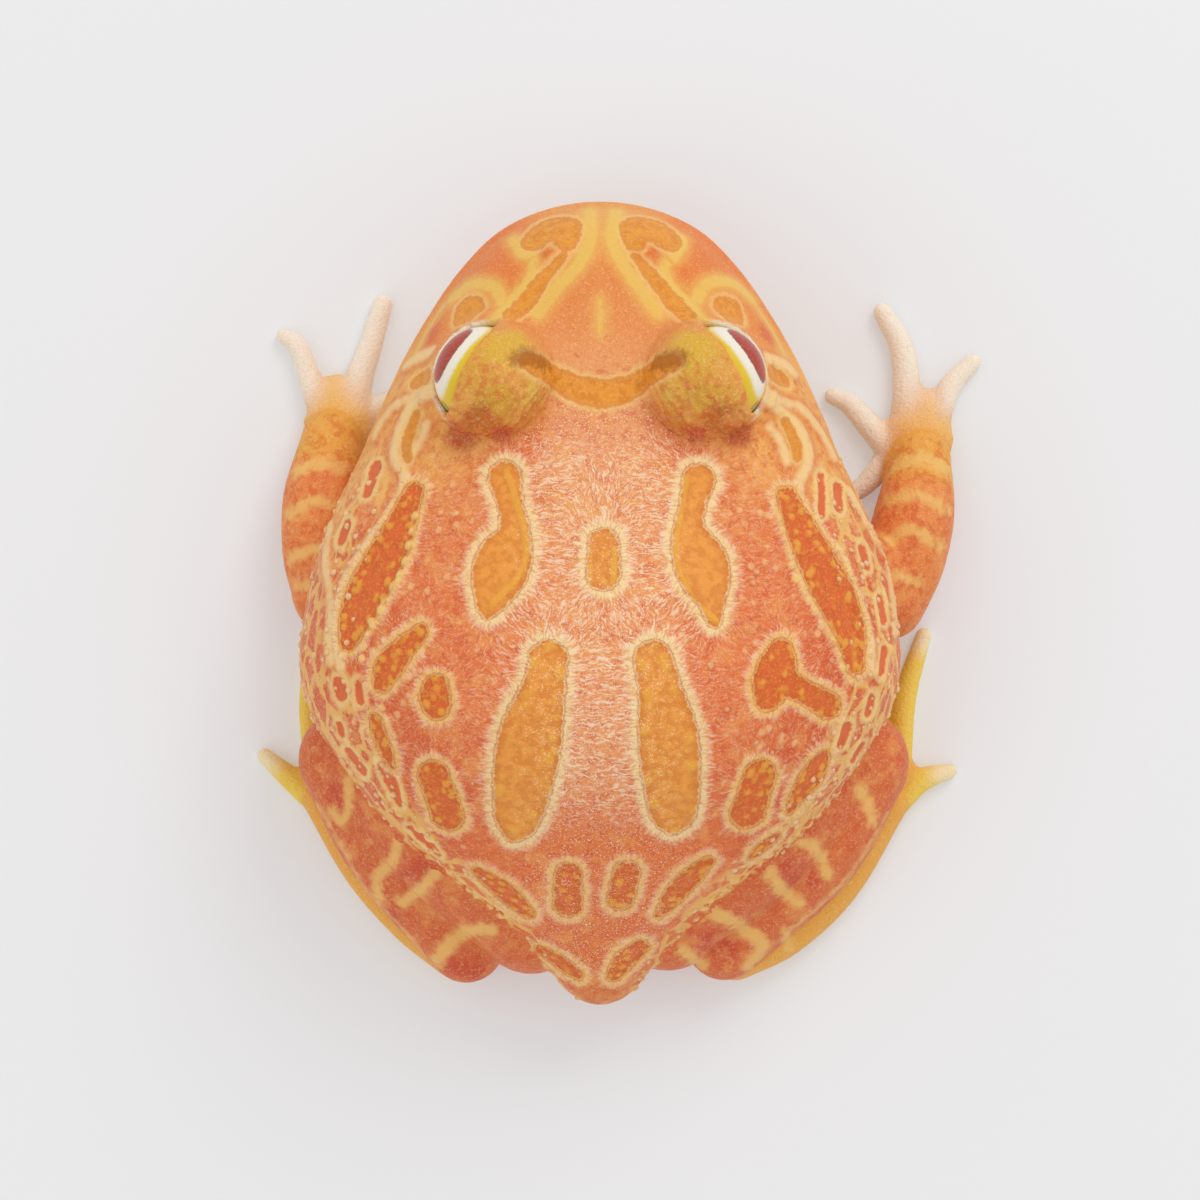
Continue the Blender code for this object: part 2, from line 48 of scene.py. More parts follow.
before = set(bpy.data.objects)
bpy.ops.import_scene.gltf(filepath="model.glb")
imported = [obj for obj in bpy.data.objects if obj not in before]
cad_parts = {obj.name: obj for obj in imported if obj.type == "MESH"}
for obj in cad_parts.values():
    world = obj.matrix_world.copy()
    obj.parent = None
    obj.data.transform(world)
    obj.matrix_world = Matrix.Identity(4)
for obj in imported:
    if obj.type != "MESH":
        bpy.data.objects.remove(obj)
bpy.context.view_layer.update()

MM = 0.001
SEED = 11


def places_in(numbers, step):
    """Cuts a row of numbers into places, each followed by its radius."""
    rows = [numbers[i : i + step] for i in range(0, len(numbers), step)]
    return tuple((row[:-1], row[-1]) for row in rows)


def limb(*numbers):
    """The joints of a limb, each given as x, y, z and radius."""
    return places_in(numbers, 4)


def discs(*rows):
    """Chains of discs in plan, each disc given as x, y and radius."""
    return tuple(places_in(row, 3) for row in rows)


def even(*rows):
    """Chains of discs of one size: their radius first, then the x and y of each."""
    return tuple(tuple((row[i : i + 2], row[0]) for i in range(1, len(row), 2)) for row in rows)


# Trunk, as in the solids: length, greatest half width, height of the back, snout
LENGTH = 101.5
HALF_WIDTH = 37.4
BACK_HEIGHT = 46.0
SNOUT_Y = -49.9

# Trunk sections: share of the length from the snout, half width as a share of the
# greatest one, then top, underside and widest level as shares of the back's height,
# then how round the upper and the lower half are, 2 being an ellipse.
SECTIONS = (
    (0.000, 0.000, 0.272, 0.272, 0.272, 2.0, 2.0),
    (0.030, 0.305, 0.490, 0.140, 0.272, 2.0, 2.1),
    (0.080, 0.452, 0.600, 0.070, 0.274, 2.1, 2.2),
    (0.150, 0.582, 0.680, 0.017, 0.283, 2.3, 2.2),
    (0.220, 0.686, 0.732, -0.006, 0.296, 2.5, 2.2),
    (0.300, 0.790, 0.785, -0.012, 0.315, 2.4, 2.2),
    (0.400, 0.914, 0.895, -0.012, 0.348, 2.2, 2.2),
    (0.500, 0.992, 0.978, -0.012, 0.376, 2.1, 2.2),
    (0.600, 1.000, 1.000, -0.012, 0.402, 2.1, 2.1),
    (0.700, 0.855, 0.920, -0.012, 0.435, 2.1, 1.9),
    (0.785, 0.652, 0.755, 0.010, 0.440, 2.2, 1.7),
    (0.850, 0.430, 0.610, 0.040, 0.390, 2.2, 1.7),
    (0.910, 0.262, 0.470, 0.075, 0.315, 2.1, 1.8),
    (0.955, 0.172, 0.378, 0.105, 0.255, 2.0, 2.0),
    (0.983, 0.112, 0.315, 0.140, 0.230, 2.0, 2.0),
    (1.000, 0.000, 0.225, 0.225, 0.225, 2.0, 2.0),
)
TRUNK_RINGS = 130
TRUNK_SIDES = 144
SIDE_CROWDING = 0.5

# Mouth: the upper lip swells above its line, and the jaw closes a little inside it
LIP_PROUD = 0.7
LIP_RISE = 1.3
LIP_SPREAD = 1.5
MOUTH_CORNER_Y = -15.0
JAW_INSET = 0.6
MOUTH_DEPTH = 0.8
MOUTH_WIDTH = 0.5

# Eyes, as on the frog's left
EYE_CENTRE = Vector((14.1, -27.3, 33.4))
EYE_RADIUS = 6.2
EYE_FORWARD = 30
EYE_UP = 28
SOCKET_GAP = 0.12
LID_CENTRE = Vector((13.1, -27.1, 33.2))
LID_SIZE = Vector((7.8, 7.6, 8.0))
LID_OPENING = Vector((7.0, 8.6, 4.7))
ORBIT_CENTRE = Vector((13.6, -26.6, 27.6))
ORBIT_SIZE = Vector((8.0, 10.4, 6.8))
ORBIT_YAW = -32
NOSTRIL = Vector((5.4, -43.6, 25.3))
NOSTRIL_RIM = Vector((1.7, 2.1, 1.1))
NOSTRIL_PIT = Vector((5.8, -43.9, 26.0))
NOSTRIL_PITCH = 32
NOSTRIL_YAW = -16

# Limbs: centre line and radius at each joint or belly of a muscle
ARMS = {
    "left": {
        "upper_arm": limb(28, -7, 14, 5.6, 31.5, -4, 10.5, 5.4, 34.4, -1.2, 7.4, 5.2),
        "forearm": limb(34.4, -0.6, 6.6, 5, 35.3, -6.5, 6.6, 5.5, 35.4, -13, 5.8, 5.3, 34.6, -20.5, 3.6,
            4),
        "palm": limb(34, -19.6, 2.6, 3.6, 33.7, -23.2, 1.9, 4.7, 34, -25.4, 1.5, 3.9),
        "fingers": discs(
            (30.6, -21.5, 1.5, 27.6, -21.3, 1.35, 24.6, -19.6, 1),
            (31, -23, 1.7, 27.6, -25.6, 1.45, 23.8, -28.2, 1.1),
            (31.6, -22.6, 2.2, 31.3, -28, 1.9, 29.6, -33.3, 1.55, 28.2, -38.2, 1.35),
            (36.1, -25, 1.9, 37.9, -29.6, 1.5, 39.3, -33, 1.25, 41, -34.2, 1),
        ),
    },
    "right": {
        "upper_arm": limb(-28.5, -7, 14, 5.6, -33, -3.6, 10.5, 5.4, -36.6, -0.4, 7.4, 5.2),
        "forearm": limb(-36.8, 0.2, 6.6, 5, -39, -5.5, 6.6, 5.4, -40.5, -11.5, 5.8, 5.1, -41.3, -18,
            3.7, 4),
        "palm": limb(-41.2, -17.4, 2.6, 3.7, -41.2, -21.2, 1.9, 4.6, -41.8, -23.8, 1.5, 3.8),
        "fingers": discs(
            (-37.4, -18.6, 1.7, -34.4, -15, 1.4, -30.8, -12.6, 1),
            (-37.6, -19.6, 2, -34.6, -22.9, 1.65, -32.2, -25.5, 1.4, -30.2, -26.4, 1.15),
            (-39.4, -21, 2.2, -39.7, -27, 1.9, -39, -32.8, 1.6, -36.6, -37.3, 1.25),
            (-43.6, -23.9, 1.9, -45.4, -27.8, 1.5, -48.3, -30.8, 1.15),
        ),
    },
}
LEGS = {
    "left": {
        "thigh": limb(8.8, 40.4, 9, 7.4, 20, 28.5, 12.5, 9, 29.6, 20.6, 10.8, 6.4),
        "shank": limb(31.8, 20.3, 8.2, 6.8, 25.8, 31, 8.2, 7.2, 17.2, 44.2, 5.4, 5),
        "tarsus": limb(18.4, 45.2, 3.3, 3.7, 24, 41, 3.1, 3.5, 30, 34.4, 2.9, 3.3, 35.4, 25.9, 2.3,
            2.9),
        "sole": limb(34.6, 26.6, 1.9, 3, 35.6, 22.4, 1.6, 3.4),
        "toes": discs(
            (34, 23, 1.5, 30.5, 19.8, 1.4, 27.6, 18.2, 1),
            (34.6, 22, 1.5, 30.6, 16, 1.4, 27.6, 12.2, 1),
            (35.4, 21.6, 1.6, 33, 13.6, 1.4, 31.2, 7.4, 1),
            (36.6, 21.8, 1.7, 37.5, 13.2, 1.5, 36.9, 4.8, 1.05),
            (36.6, 26, 1.8, 39.4, 23.6, 1.6, 43.4, 20.2, 1.05),
        ),
    },
    "right": {
        "thigh": limb(-8.6, 40.2, 9, 7.2, -19.5, 29, 12.5, 9, -30.2, 21, 10.8, 6.4),
        "shank": limb(-32.8, 20.8, 8.2, 6.8, -26.6, 31.5, 8.2, 7, -16, 43.9, 5.4, 5),
        "tarsus": limb(-17.4, 45.4, 3.3, 3.7, -23.6, 42.6, 3.1, 3.5, -30.4, 36.4, 2.9, 3.3, -36.8, 26.4,
            2.3, 2.9),
        "sole": limb(-36.2, 26.6, 1.9, 3, -37.4, 22.6, 1.6, 3.4),
        "toes": discs(
            (-35.6, 23.2, 1.5, -31.6, 20.2, 1.4, -28.6, 18.8, 1),
            (-36.2, 22.2, 1.5, -31.8, 16.4, 1.4, -28.6, 12.8, 1),
            (-37, 21.8, 1.6, -34.6, 14, 1.4, -33, 7.6, 1),
            (-38.6, 22, 1.7, -39.5, 12.6, 1.5, -41.9, 4.6, 1.05),
            (-38.4, 26.2, 1.8, -41.4, 23.4, 1.6, -45.2, 22.2, 1.05),
        ),
    },
}
PALM_FLATNESS = 0.62
DIGIT_LIFT = 0.86
HAND_WEBS = ((1, 2, 0.26, 0.30), (2, 3, 0.40, 0.45))
FOOT_WEBS = ((0, 1, 0.60, 0.50), (1, 2, 0.60, 0.60), (2, 3, 0.70, 0.60), (3, 4, 0.75, 0.62))
WEB_SAG = 0.42
WEB_LEVEL = 0.9
WEB_THICKNESS = 0.8

# How fine each shell is before they are melted together
LIMB_SIDES = 28
DIGIT_SIDES = 18
LIMB_STEPS = 12
DIGIT_STEPS = 8
CAP_RINGS = 7
BALL_SEGMENTS = 48
BALL_RINGS = 32

# Spots: chains of discs in plan
GOLD_SPOTS = discs(
    (-0.4, -6.8, 1.93, -0.4, -3.1, 2.05),
    (11.6, -15, 2.07, 10.9, -11.5, 1.58, 10.4, -8.2, 1.94, 11.9, -4.1, 3.5, 13.1, -0.2, 2.05, 13.6, 1.4,
     0.96),
    (-12, -14.6, 2.07, -11.2, -11.4, 1.58, -10.8, -8, 2.06, -12.3, -4.1, 3.38, -13.3, -0.5, 1.93, -13.7,
     2.4, 0.96),
    (6.2, 7.2, 2.4, 6.8, 10.8, 2.64, 8.2, 15.6, 3.73, 9.2, 21.1, 3.74, 10, 26.2, 2.92, 10.4, 28.3,
     1.47),
    (-6.4, 7.2, 2.4, -7.2, 10.8, 2.64, -8.2, 16.2, 3.61, -8.6, 21.1, 3.5, -8.9, 25.5, 2.92, -8.9, 27.3,
     1.46),
)
EMBER_SPOTS = discs(
    (20.2, 21.4, 2.07, 18.7, 26.3, 2.2),
    (-19.4, 21.3, 2.07, -18.1, 25.9, 2.32),
    (3.9, 33.7, 1.72, 4, 37.8, 1.86),
    (-3.3, 33.5, 1.72, -2.5, 37, 1.73),
    (15.1, 33.7, 0.87, 11.8, 36.3, 1.62, 9.1, 38.9, 1.12),
    (-13.2, 32.3, 0.99, -10.9, 34.6, 1.61, -8.9, 37, 1.37, -7.5, 39.1, 0.75),
    (7.4, 44.2, 1.01, 4.8, 45.8, 1.13, 2.9, 47.2, 0.88),
    (-5, 43.7, 1.26, -3.1, 45.3, 1.51, -1.8, 47.3, 1.01),
    (21.8, 3.9, 1.09, 24, 6.1, 1.57, 25.7, 8.2, 1.82, 26.5, 10.2, 1.09),
    (19.8, 10.6, 1.69, 19.7, 12.8, 1.69, 20.5, 11.8, 1.45),
    (-21.9, 6.3, 1.69, -21.1, 9.4, 2.66, -20.3, 11.8, 1.69),
    (-21.1, 9.4, 1.9, -24.9, 11.2, 1.45, -27.8, 12.9, 1.7),
    (-27.3, 19.2, 0.98, -26, 21.5, 1.72, -24.2, 24.2, 1.11, -23.4, 26.1, 0.49),
    (-21.8, 29.2, 0.62, -19.8, 30.8, 0.99, -18.7, 31.8, 0.5),
    (27.4, 14.6, 0.85, 26.4, 17.7, 0.98, 25.4, 20.2, 0.49),
    (22.8, -13.2, 1.3, 25.2, -7, 2.3, 27.8, -2.2, 2.8, 29.8, 2, 2.3, 30.7, 4.9, 1.3),
    (-22.8, -12.6, 1.3, -25.4, -6.9, 2.3, -28.2, -1.6, 2.8, -30.4, 3.5, 2.3, -31.2, 8, 1.3),
)
# Red cells of the flanks, between pale lines
FLANK_CELLS = discs(
    (27.8, -16.5, 0.87, 28.8, -13.2, 0.74),
    (-27.3, -15.3, 0.49, -27.3, -10.6, 0.49),
    (-29.5, -14, 0.74, -29.5, -11.5, 0.74),
    (-29, -5.2, 0.74, -29.6, -3.7, 0.74),
    (-34.7, -0.2, 0.62, -35, 2.5, 0.62),
    (32, 10.2, 0.86, 31.7, 11.5, 0.98),
    (29.5, 10.2, 0.49, 29.2, 12.4, 0.49),
    (32, 15.5, 0.62, 31.8, 16.5, 0.49),
    (31, 18.8, 0.74, 29.2, 21, 0.74),
    (26.6, 20.3, 0.74, 25.5, 22.6, 0.86, 24.7, 25, 0.49),
    (23.4, 28.3, 0.62, 21.8, 29.7, 0.74, 20.1, 31.4, 0.5),
    (18.5, 34.9, 0.38, 16, 36.7, 0.38),
    (15.2, 37.5, 0.38, 12.4, 39.3, 0.5),
    (-30.2, 15.6, 0.74, -29.6, 17.7, 0.61),
    (-33.4, 12.1, 0.62, -33, 13.9, 0.62),
    (-35.1, 6.2, 0.62, -34.5, 8.9, 0.62),
    (-32.4, 18, 0.5, -31.3, 19.8, 0.5),
    (31.3, -9.3, 0.74, 32.1, -7.4, 0.74),
    (-32.4, -6.4, 0.62, -32.9, -4.2, 0.62),
)
HALO_WIDTHS = (1.35, 1.05)

# Raised golden folds inside the front spots
GILT_LINES = even(
    (0.3, 11.4, -15.6, 9.9, -11.4, 9, -7.4, 9.4, -3.6, 12.9, 0.4),
    (0.3, -10.6, -15, -9.5, -9.1, -9.2, -5, -11.2, 0, -13.9, 2.4),
    (0.25, 1.4, -6.2, 1.2, -2.3),
    (0.25, -1.8, -6.2, -1.6, -2.3),
)

# Pale lines of the head, then of the temples and flanks
HEAD_LINES = even(
    (0.8, 1.3, -48.9, 1.2, -44.9, 2.6, -41.6, 5.2, -38.7, 7.6, -35.4),
    (0.8, -2.1, -48.9, -1.5, -44.9, -2.7, -41.9, -4.9, -38.6, -7.1, -35.4),
    (0.62, 11, -45.3, 9.7, -43.1, 8.3, -42.4, 8.9, -39.4, 11.1, -36.9, 13, -34.5),
    (0.62, -10.4, -45.3, -9.5, -42.8, -8.1, -41.7, -8.7, -39, -10.9, -36.9, -12.7, -34.5),
    (0.8, 18.6, -37.9, 16.1, -39.4, 13.2, -38.9, 12.1, -36.9),
    (0.8, -12, -37.2, -12.9, -38.9, -14.7, -39.8, -17.2, -39.5, -19.1, -37.8),
    (0.3, 19.7, -37, 21.6, -34.2, 23.1, -31),
    (0.3, -19.9, -36.6, -21.6, -34, -23, -31),
    (0.3, -0.1, -36.8, -0.1, -32.8),
)
FOLD_LINES = even(
    (0.3, 20.3, -26.3, 22.8, -25.2, 25.3, -24.2, 27, -22.4, 28.1, -20.4),
    (0.4, 20.4, -25.7, 22.8, -24.4, 23.9, -22.8, 24.9, -20.4, 25.3, -17.7, 23.9, -15.2, 23.9, -12),
    (0.3, -20.3, -25.9, -22.3, -24.5, -24.7, -23.9, -26.7, -21.9, -28, -20.1, -29.1, -17.7),
    (0.4, -20.3, -25, -21.7, -23.7, -23.3, -22.5, -24.9, -20.7, -25.7, -17.4, -24.4, -14.6, -23.8, -12),
    (0.5, 20.6, -30.8, 22.5, -30.2, 24.2, -29.3),
    (0.5, -20.7, -29.9, -23, -29.2, -24, -28.3),
    (0.25, 21.2, -21.7, 21.9, -19.8, 23, -18.2),
    (0.25, -20.9, -21.3, -22.2, -19.3, -22.9, -17),
    (0.45, 24.2, -12.4, 26.2, -9.6, 28.4, -6.6, 31.3, -2.1, 32.2, 2.9, 31.7, 8),
    (0.45, -24, -12.2, -26.2, -8.8, -28.2, -4.1, -31, -0.2, -32.9, 4.4, -33.2, 8.6),
    (0.3, 33.5, -9.3, 34, -5.8, 33.4, -1.5, 33, 0.7, 33.3, 4.6, 32.9, 7.6),
    (0.3, -30.9, -13.6, -33.1, -9.7, -35.4, -5, -36.4, 0, -36.5, 4.1),
)

# Yellow bars of the limbs, and the crease between shank and foot
LIMB_BARS = even(
    (0.7, 31.7, 22.8, 31.9, 26.2, 32.7, 28, 33.9, 26.9),
    (0.75, 25.1, 30.1, 26.2, 32.8, 27.9, 34.6, 28.4, 36.1, 28.1, 37.7),
    (0.8, 20.5, 34, 22.4, 36.2, 25.2, 38.5),
    (0.95, 13.9, 41.7, 16.3, 41.8, 18.7, 43.3, 20.3, 45.5, 20.9, 46.3),
    (0.75, -32.9, 24, -34, 26, -34.7, 28.2),
    (0.8, -24.7, 30.4, -26.4, 30.7, -28, 32.5, -28.8, 34.9),
    (0.8, -21.2, 33.9, -22.7, 36.4, -25.3, 38.5),
    (0.95, -14.1, 39.2, -16.7, 40.7, -19.6, 42.9, -20.9, 44.2, -19, 46.9),
    (0.8, -10.4, 44.3, -13.1, 46.9),
    (0.65, -27.2, 24.7, -26.8, 26.3),
    (0.65, -23.7, 42.2, -24.2, 44.7),
    (0.65, -10.9, 36, -11.5, 38.1, -12.7, 40.1),
    (0.8, 38.8, -16.4, 36, -17.4, 32.8, -16.8),
    (0.7, 39.8, -10.9, 36.7, -12.5, 33.2, -12.2),
    (0.75, 39.4, -5.2, 35.9, -6.6, 32.8, -5.4),
    (0.6, 38.4, -1.9, 35, -1.2),
    (0.8, -38, -17.2, -41.2, -18.2, -44.6, -16.5),
    (0.7, -36.9, -12.8, -40.2, -13.5, -44.5, -11.4),
    (0.75, -36.6, -7.6, -39.7, -8.9, -43.5, -6.8),
    (0.6, -37.5, -3.2, -40.6, -2.3),
    (0.2, 36, 26.1, 32.3, 32.2, 30, 37, 25.5, 41.7, 22.4, 45.8),
    (0.2, -36.6, 27.3, -32.2, 34.5, -28.3, 38.6, -23.7, 42.7),
)
RED_PANELS = discs(
    (24.2, 35.4, 1.14, 22, 33.7, 1.13),
    (26.7, 39.8, 0.51, 26, 41.4, 0.51),
    (-23.9, 34, 1.26, -26.1, 35.7, 1.14),
    (-11, 39, 1, -10.3, 41.6, 0.76),
    (33.5, 24.1, 0.76, 33.5, 26.9, 0.76),
    (19.2, 46.6, 0.89, 15.4, 48, 1.02),
    (-13.9, 43.1, 1.27, -16.1, 44.6, 1.28),
)

# Scalloped inner edges of the flank bands, where golden beads stand
BEAD_LINES = even(
    (1, 22.4, -10.6, 23, -7.6, 24, -3.8, 25.4, -0.9, 26.5, 1.2, 27.9, 3.6, 28.9, 6.4, 29, 7.9),
    (1, -21.6, -10.2, -22.4, -6.6, -23.4, -3.4, -25, -0.3, -26.8, 2.8, -28.6, 6, -29.6, 9),
    (1, 27.1, 23.4, 24.7, 26.3, 23.5, 27.4, 21, 29.9, 19.5, 32.3, 17.3, 35.7, 15.2, 37.5, 11.7, 40.3),
    (1, -29.7, 23.7, -27.7, 26.7, -24.9, 28.6, -21.8, 31.1, -19, 33.4, -16.2, 35.5, -13.2, 38.2, -11.4,
     41.2),
)
# Largest beads: place in plan and radius
BIG_BEADS = (
    (29.2, -8.5, 0.45), (31.6, -6.1, 0.7), (33.2, -0.9, 0.45), (32.6, 8.1, 0.55), (30.3, -11.1, 0.6),
    (24.4, -2.3, 0.75), (26.2, 0.2, 0.65), (27.8, 2.6, 0.65), (28.6, 5.2, 0.55), (3.6, 31.8, 0.6),
    (-3.3, 32.0, 0.6), (14.8, 32.5, 0.45), (23.7, 26.9, 0.45), (25.0, 20.0, 0.45), (26.5, 13.0, 0.65),
    (-30.1, -5.7, 0.55), (-31.2, -2.5, 0.45), (-33.5, -9.1, 0.5), (-34.5, -6.9, 0.6), (-35.0, -5.0, 0.6),
    (-34.2, -3.1, 0.7), (-33.6, -1.6, 0.55), (-33.4, 1.5, 0.65), (-35.4, 4.3, 0.65), (-35.8, 6.0, 0.65),
    (-32.5, 11.0, 0.65), (-23.1, -4.9, 0.55), (-24.3, -1.8, 0.65), (-26.5, 1.5, 0.55), (-28.4, 4.4, 0.55),
    (-30.0, 8.3, 0.55), (20.6, -8.0, 0.4), (-19.8, -7.2, 0.4), (17.9, 2.6, 0.4), (-17.6, 3.4, 0.4),
)

# Orange patches with no halo: snout, brow, the bar between the lids, and the temples
PATCHES = discs(
    (8.3, -44.9, 1.7, 6.3, -46.2, 2.4, 4.3, -46.3, 2.1, 4.2, -44.6, 1.4),
    (-4.4, -44.6, 1.4, -4.5, -46.3, 2.1, -6.6, -46.2, 2.4, -8.7, -44.9, 1.7),
    (16.2, -36, 2.11, 16.6, -35.2, 1.9),
    (-15.9, -36, 2.11, -16.3, -35.2, 1.9),
    (8.8, -28.9, 1.15, 7.2, -28.3, 1.4, 5.5, -27.2, 1.4, 3.2, -26, 1.65, 0, -25.2, 1.85, -3.2, -25.8,
     1.65, -5.4, -27, 1.4, -7, -28.1, 1.4, -8.6, -28.7, 1.15),
    (22.7, -22.9, 0.6, 23.7, -19.4, 0.75, 23.6, -17.4, 0.6),
    (-22.8, -22, 0.6, -24.1, -19.3, 0.75, -24.3, -17.6, 0.6),
    (21.6, -27.6, 1.2, 22.9, -27, 0.9),
    (-21.4, -28, 1.2, -22.9, -27.2, 0.9),
    (4.4, -42.9, 0.5, 6.9, -39.9, 0.9, 9.1, -36.9, 1.15, 11, -34.9, 1.1),
    (-4.2, -42.7, 0.5, -6.7, -39.7, 0.9, -8.9, -36.9, 1.15, -10.8, -34.9, 1.1),
)
# Dark blotches on the lids, at the ends of the bar
BLOTCHES = discs(
    (10.3, -29.2, 0.9, 8.5, -29.4, 1.35, 6.7, -28.7, 0.9),
    (-6.8, -28.6, 0.9, -8.5, -29.1, 1.35, -10, -29.4, 0.9),
)

# Ground colour of the trunk by place: how far from the midline, how far back, how wide, colour
GROUND = (
    (0.0, -46.0, 5.0, "E8984A"),
    (4.5, -42.0, 3.0, "DF6C34"),
    (12.0, -41.5, 4.0, "E67E38"),
    (19.0, -34.5, 4.0, "E88A3C"),
    (0.0, -35.0, 5.0, "E78E4C"),
    (0.0, -29.0, 4.0, "ECA468"),
    (0.0, -20.0, 6.0, "EA9C68"),
    (10.0, -20.5, 3.0, "DF6E3C"),
    (19.0, -20.0, 5.0, "EFAA54"),
    (24.0, -26.0, 5.0, "F0AC54"),
    (15.0, -12.0, 5.0, "E48246"),
    (0.0, -10.0, 6.0, "EA985C"),
    (0.0, 2.0, 6.0, "EA935A"),
    (19.0, 0.0, 6.0, "E47A44"),
    (0.0, 18.0, 6.0, "ED9C66"),
    (15.0, 12.0, 5.0, "E67C46"),
    (0.0, 32.0, 7.0, "E4783E"),
    (0.0, 43.0, 6.0, "E07640"),
    (0.0, 50.0, 4.0, "DC8040"),
    (31.0, 6.0, 6.0, "DA6434"),
    (26.0, 22.0, 6.0, "DA6434"),
)
LIMB_COLOURS = {
    "arm": "E88848",
    "hand": "EFBB62",
    "finger": "F5E8D6",
    "leg": "D87040",
    "foot": "EAAA4A",
    "toe": "F0CC54",
}
# Soft washes of colour on the lids and the cheeks: place in plan, radius, colour. The dark reds on the back
# of each lid are partly its own colour and partly painted shade.
WASHES = (
    ((12.0, -26.0), 7.5, "DBA040"),
    ((11.2, -30.6), 3.4, "DCAE3C"),
    ((12.6, -33.6), 2.0, "E09650"),
    ((12.4, -24.4), 2.6, "D6A038"),
    # On the back slope of each lid: its own red, deepened as painted shade where the lid turns away from the
    # light
    ((14.6, -21.6), 2.6, "C8742E"),
    ((17.0, -20.4), 2.4, "C4602E"),
    ((12.0, -20.4), 1.6, "CC5C34"),
    ((8.6, -25.0), 1.5, "E2B64C"),
    ((8.9, -29.0), 1.7, "B9701E"),
    ((21.0, -33.2), 1.8, "DB6434"),
)
BELLY_COLOUR = "F1DDB8"
WRIST_COLOUR = "E9A644"
TOE_TIP_COLOUR = "F4E8C8"
PANEL_COLOUR = "CC5236"
LID_RIM_COLOUR = "F1E8D6"


def colour_property(name, hex_colour, description):
    """A colour that the user can change, kept as the sRGB values of its hex code."""
    values = [int(hex_colour[i : i + 2], 16) / 255 for i in (0, 2, 4)]
    return FloatVectorProperty(
        name=name, description=description, subtype="COLOR_GAMMA", size=3, min=0, max=1, default=values
    )


class FrogSkinSettings(PropertyGroup):
    """Sizes and colours of the skin."""

    voxel: FloatProperty(
        name="Fineness", description="Cell size of the melted skin, in mm", default=0.42, min=0.3, max=1.0
    )
    triangles: IntProperty(
        name="Triangles", description="Most triangles of the skin", default=186000, min=20000, max=199000
    )
    wart_height: FloatProperty(
        name="Wart height", description="Height of the low warts, in mm", default=0.16, min=0, max=0.5
    )
    bead_radius: FloatProperty(
        name="Bead radius", description="Radius of the largest beads, in mm", default=0.5, min=0.2, max=1
    )
    bead_spacing: FloatProperty(
        name="Bead spacing", description="Least distance of two beads, in mm", default=1.15, min=0.4, max=5
    )
    halo: colour_property("Halo", "F4D698", "Cream band around each spot")
    outline: colour_property("Outline", "C4604E", "Thin purple-red edge of each spot")
    gold: colour_property("Gold", "EE9C46", "Inside of the large spots")
    ember: colour_property("Ember", "DE6A36", "Inside of the small spots")
    ember_halo: colour_property("Small halo", "F0BE66", "Band around each small spot")
    cell: colour_property("Cells", "DE6236", "Red cells of the flanks")
    gilt: colour_property("Gilt", "EDAC42", "Raised lumps and folds inside the spots")
    line: colour_property("Lines", "ECC060", "Lines of the head and bars of the limbs")
    streak: colour_property("Streaks", "FCE2C2", "Pale streaks across the back")
    bead: colour_property("Beads", "F4DCA4", "Pale raised beads")


class FrogEyeSettings(PropertyGroup):
    """Colours of the eyes."""

    pupil: colour_property("Pupil", "AE4230", "Brick-red pupil")
    iris: colour_property("Iris", "F0E8D8", "Cream ring around the pupil")
    iris_edge: colour_property("Iris edge", "E6C636", "Yellow outer part of the iris")


class FrogStageSettings(PropertyGroup):
    """Floor, light and camera."""

    floor: colour_property("Floor", "CDCDCE", "Plain pale floor")
    key_power: FloatProperty(
        name="Key light", description="Power of the soft light", default=3.4, min=0, max=100, subtype="POWER"
    )
    room_light: FloatProperty(
        name="Room light", description="Strength of the even light from all round", default=0.78, min=0, max=5
    )
    camera_height: FloatProperty(
        name="Camera height", description="Height over the floor", default=0.6, min=0.2, unit="LENGTH"
    )


def linear(colour):
    """Turns sRGB values, or a hex code, into linear values."""
    if isinstance(colour, str):
        colour = [int(colour[i : i + 2], 16) / 255 for i in (0, 2, 4)]
    return [c / 12.92 if c <= 0.04045 else ((c + 0.055) / 1.055) ** 2.4 for c in colour[:3]]


def add(tree, kind, inputs=(), **settings):
    """Adds a node. Its inputs go by name, or by place among its active sockets."""
    node = tree.nodes.new(kind)
    for name, value in settings.items():
        setattr(node, name, value)
    active = [socket for socket in node.inputs if socket.enabled]
    for key, value in inputs.items() if isinstance(inputs, dict) else enumerate(inputs):
        socket = node.inputs[key] if isinstance(key, str) else active[key]
        if isinstance(value, bpy.types.Node):
            value = next(out for out in value.outputs if out.enabled)
        if isinstance(value, bpy.types.NodeSocket):
            tree.links.new(value, socket)
        else:
            socket.default_value = value
    return node


def smooth_value(keys, values, at):
    """Cubic through the values at rising keys, with each slope taken from its neighbours."""
    last = len(keys) - 1
    i = max(k for k in range(last) if k == 0 or keys[k] <= at)
    span = keys[i + 1] - keys[i]
    t = (at - keys[i]) / span

    def slope(k):
        low, high = max(k - 1, 0), min(k + 1, last)
        return (values[high] - values[low]) / (keys[high] - keys[low])

    rise = values[i + 1] - values[i]
    m0, m1 = slope(i) * span, slope(i + 1) * span
    return values[i] + m0 * t + (3 * rise - 2 * m0 - m1) * t**2 + (m0 + m1 - 2 * rise) * t**3


def angle_of(share):
    """Turns a share of the length into an angle, so that both ends of the trunk close round."""
    return acos(1 - 2 * share)


SECTION_ANGLES = [angle_of(row[0]) for row in SECTIONS]


def section_at(angle):
    """Half width, top, underside and widest level in mm, then the two roundness powers."""
    shares = [smooth_value(SECTION_ANGLES, [row[c] for row in SECTIONS], angle) for c in range(1, 7)]
    return [shares[0] * HALF_WIDTH] + [s * BACK_HEIGHT for s in shares[1:4]] + shares[4:]


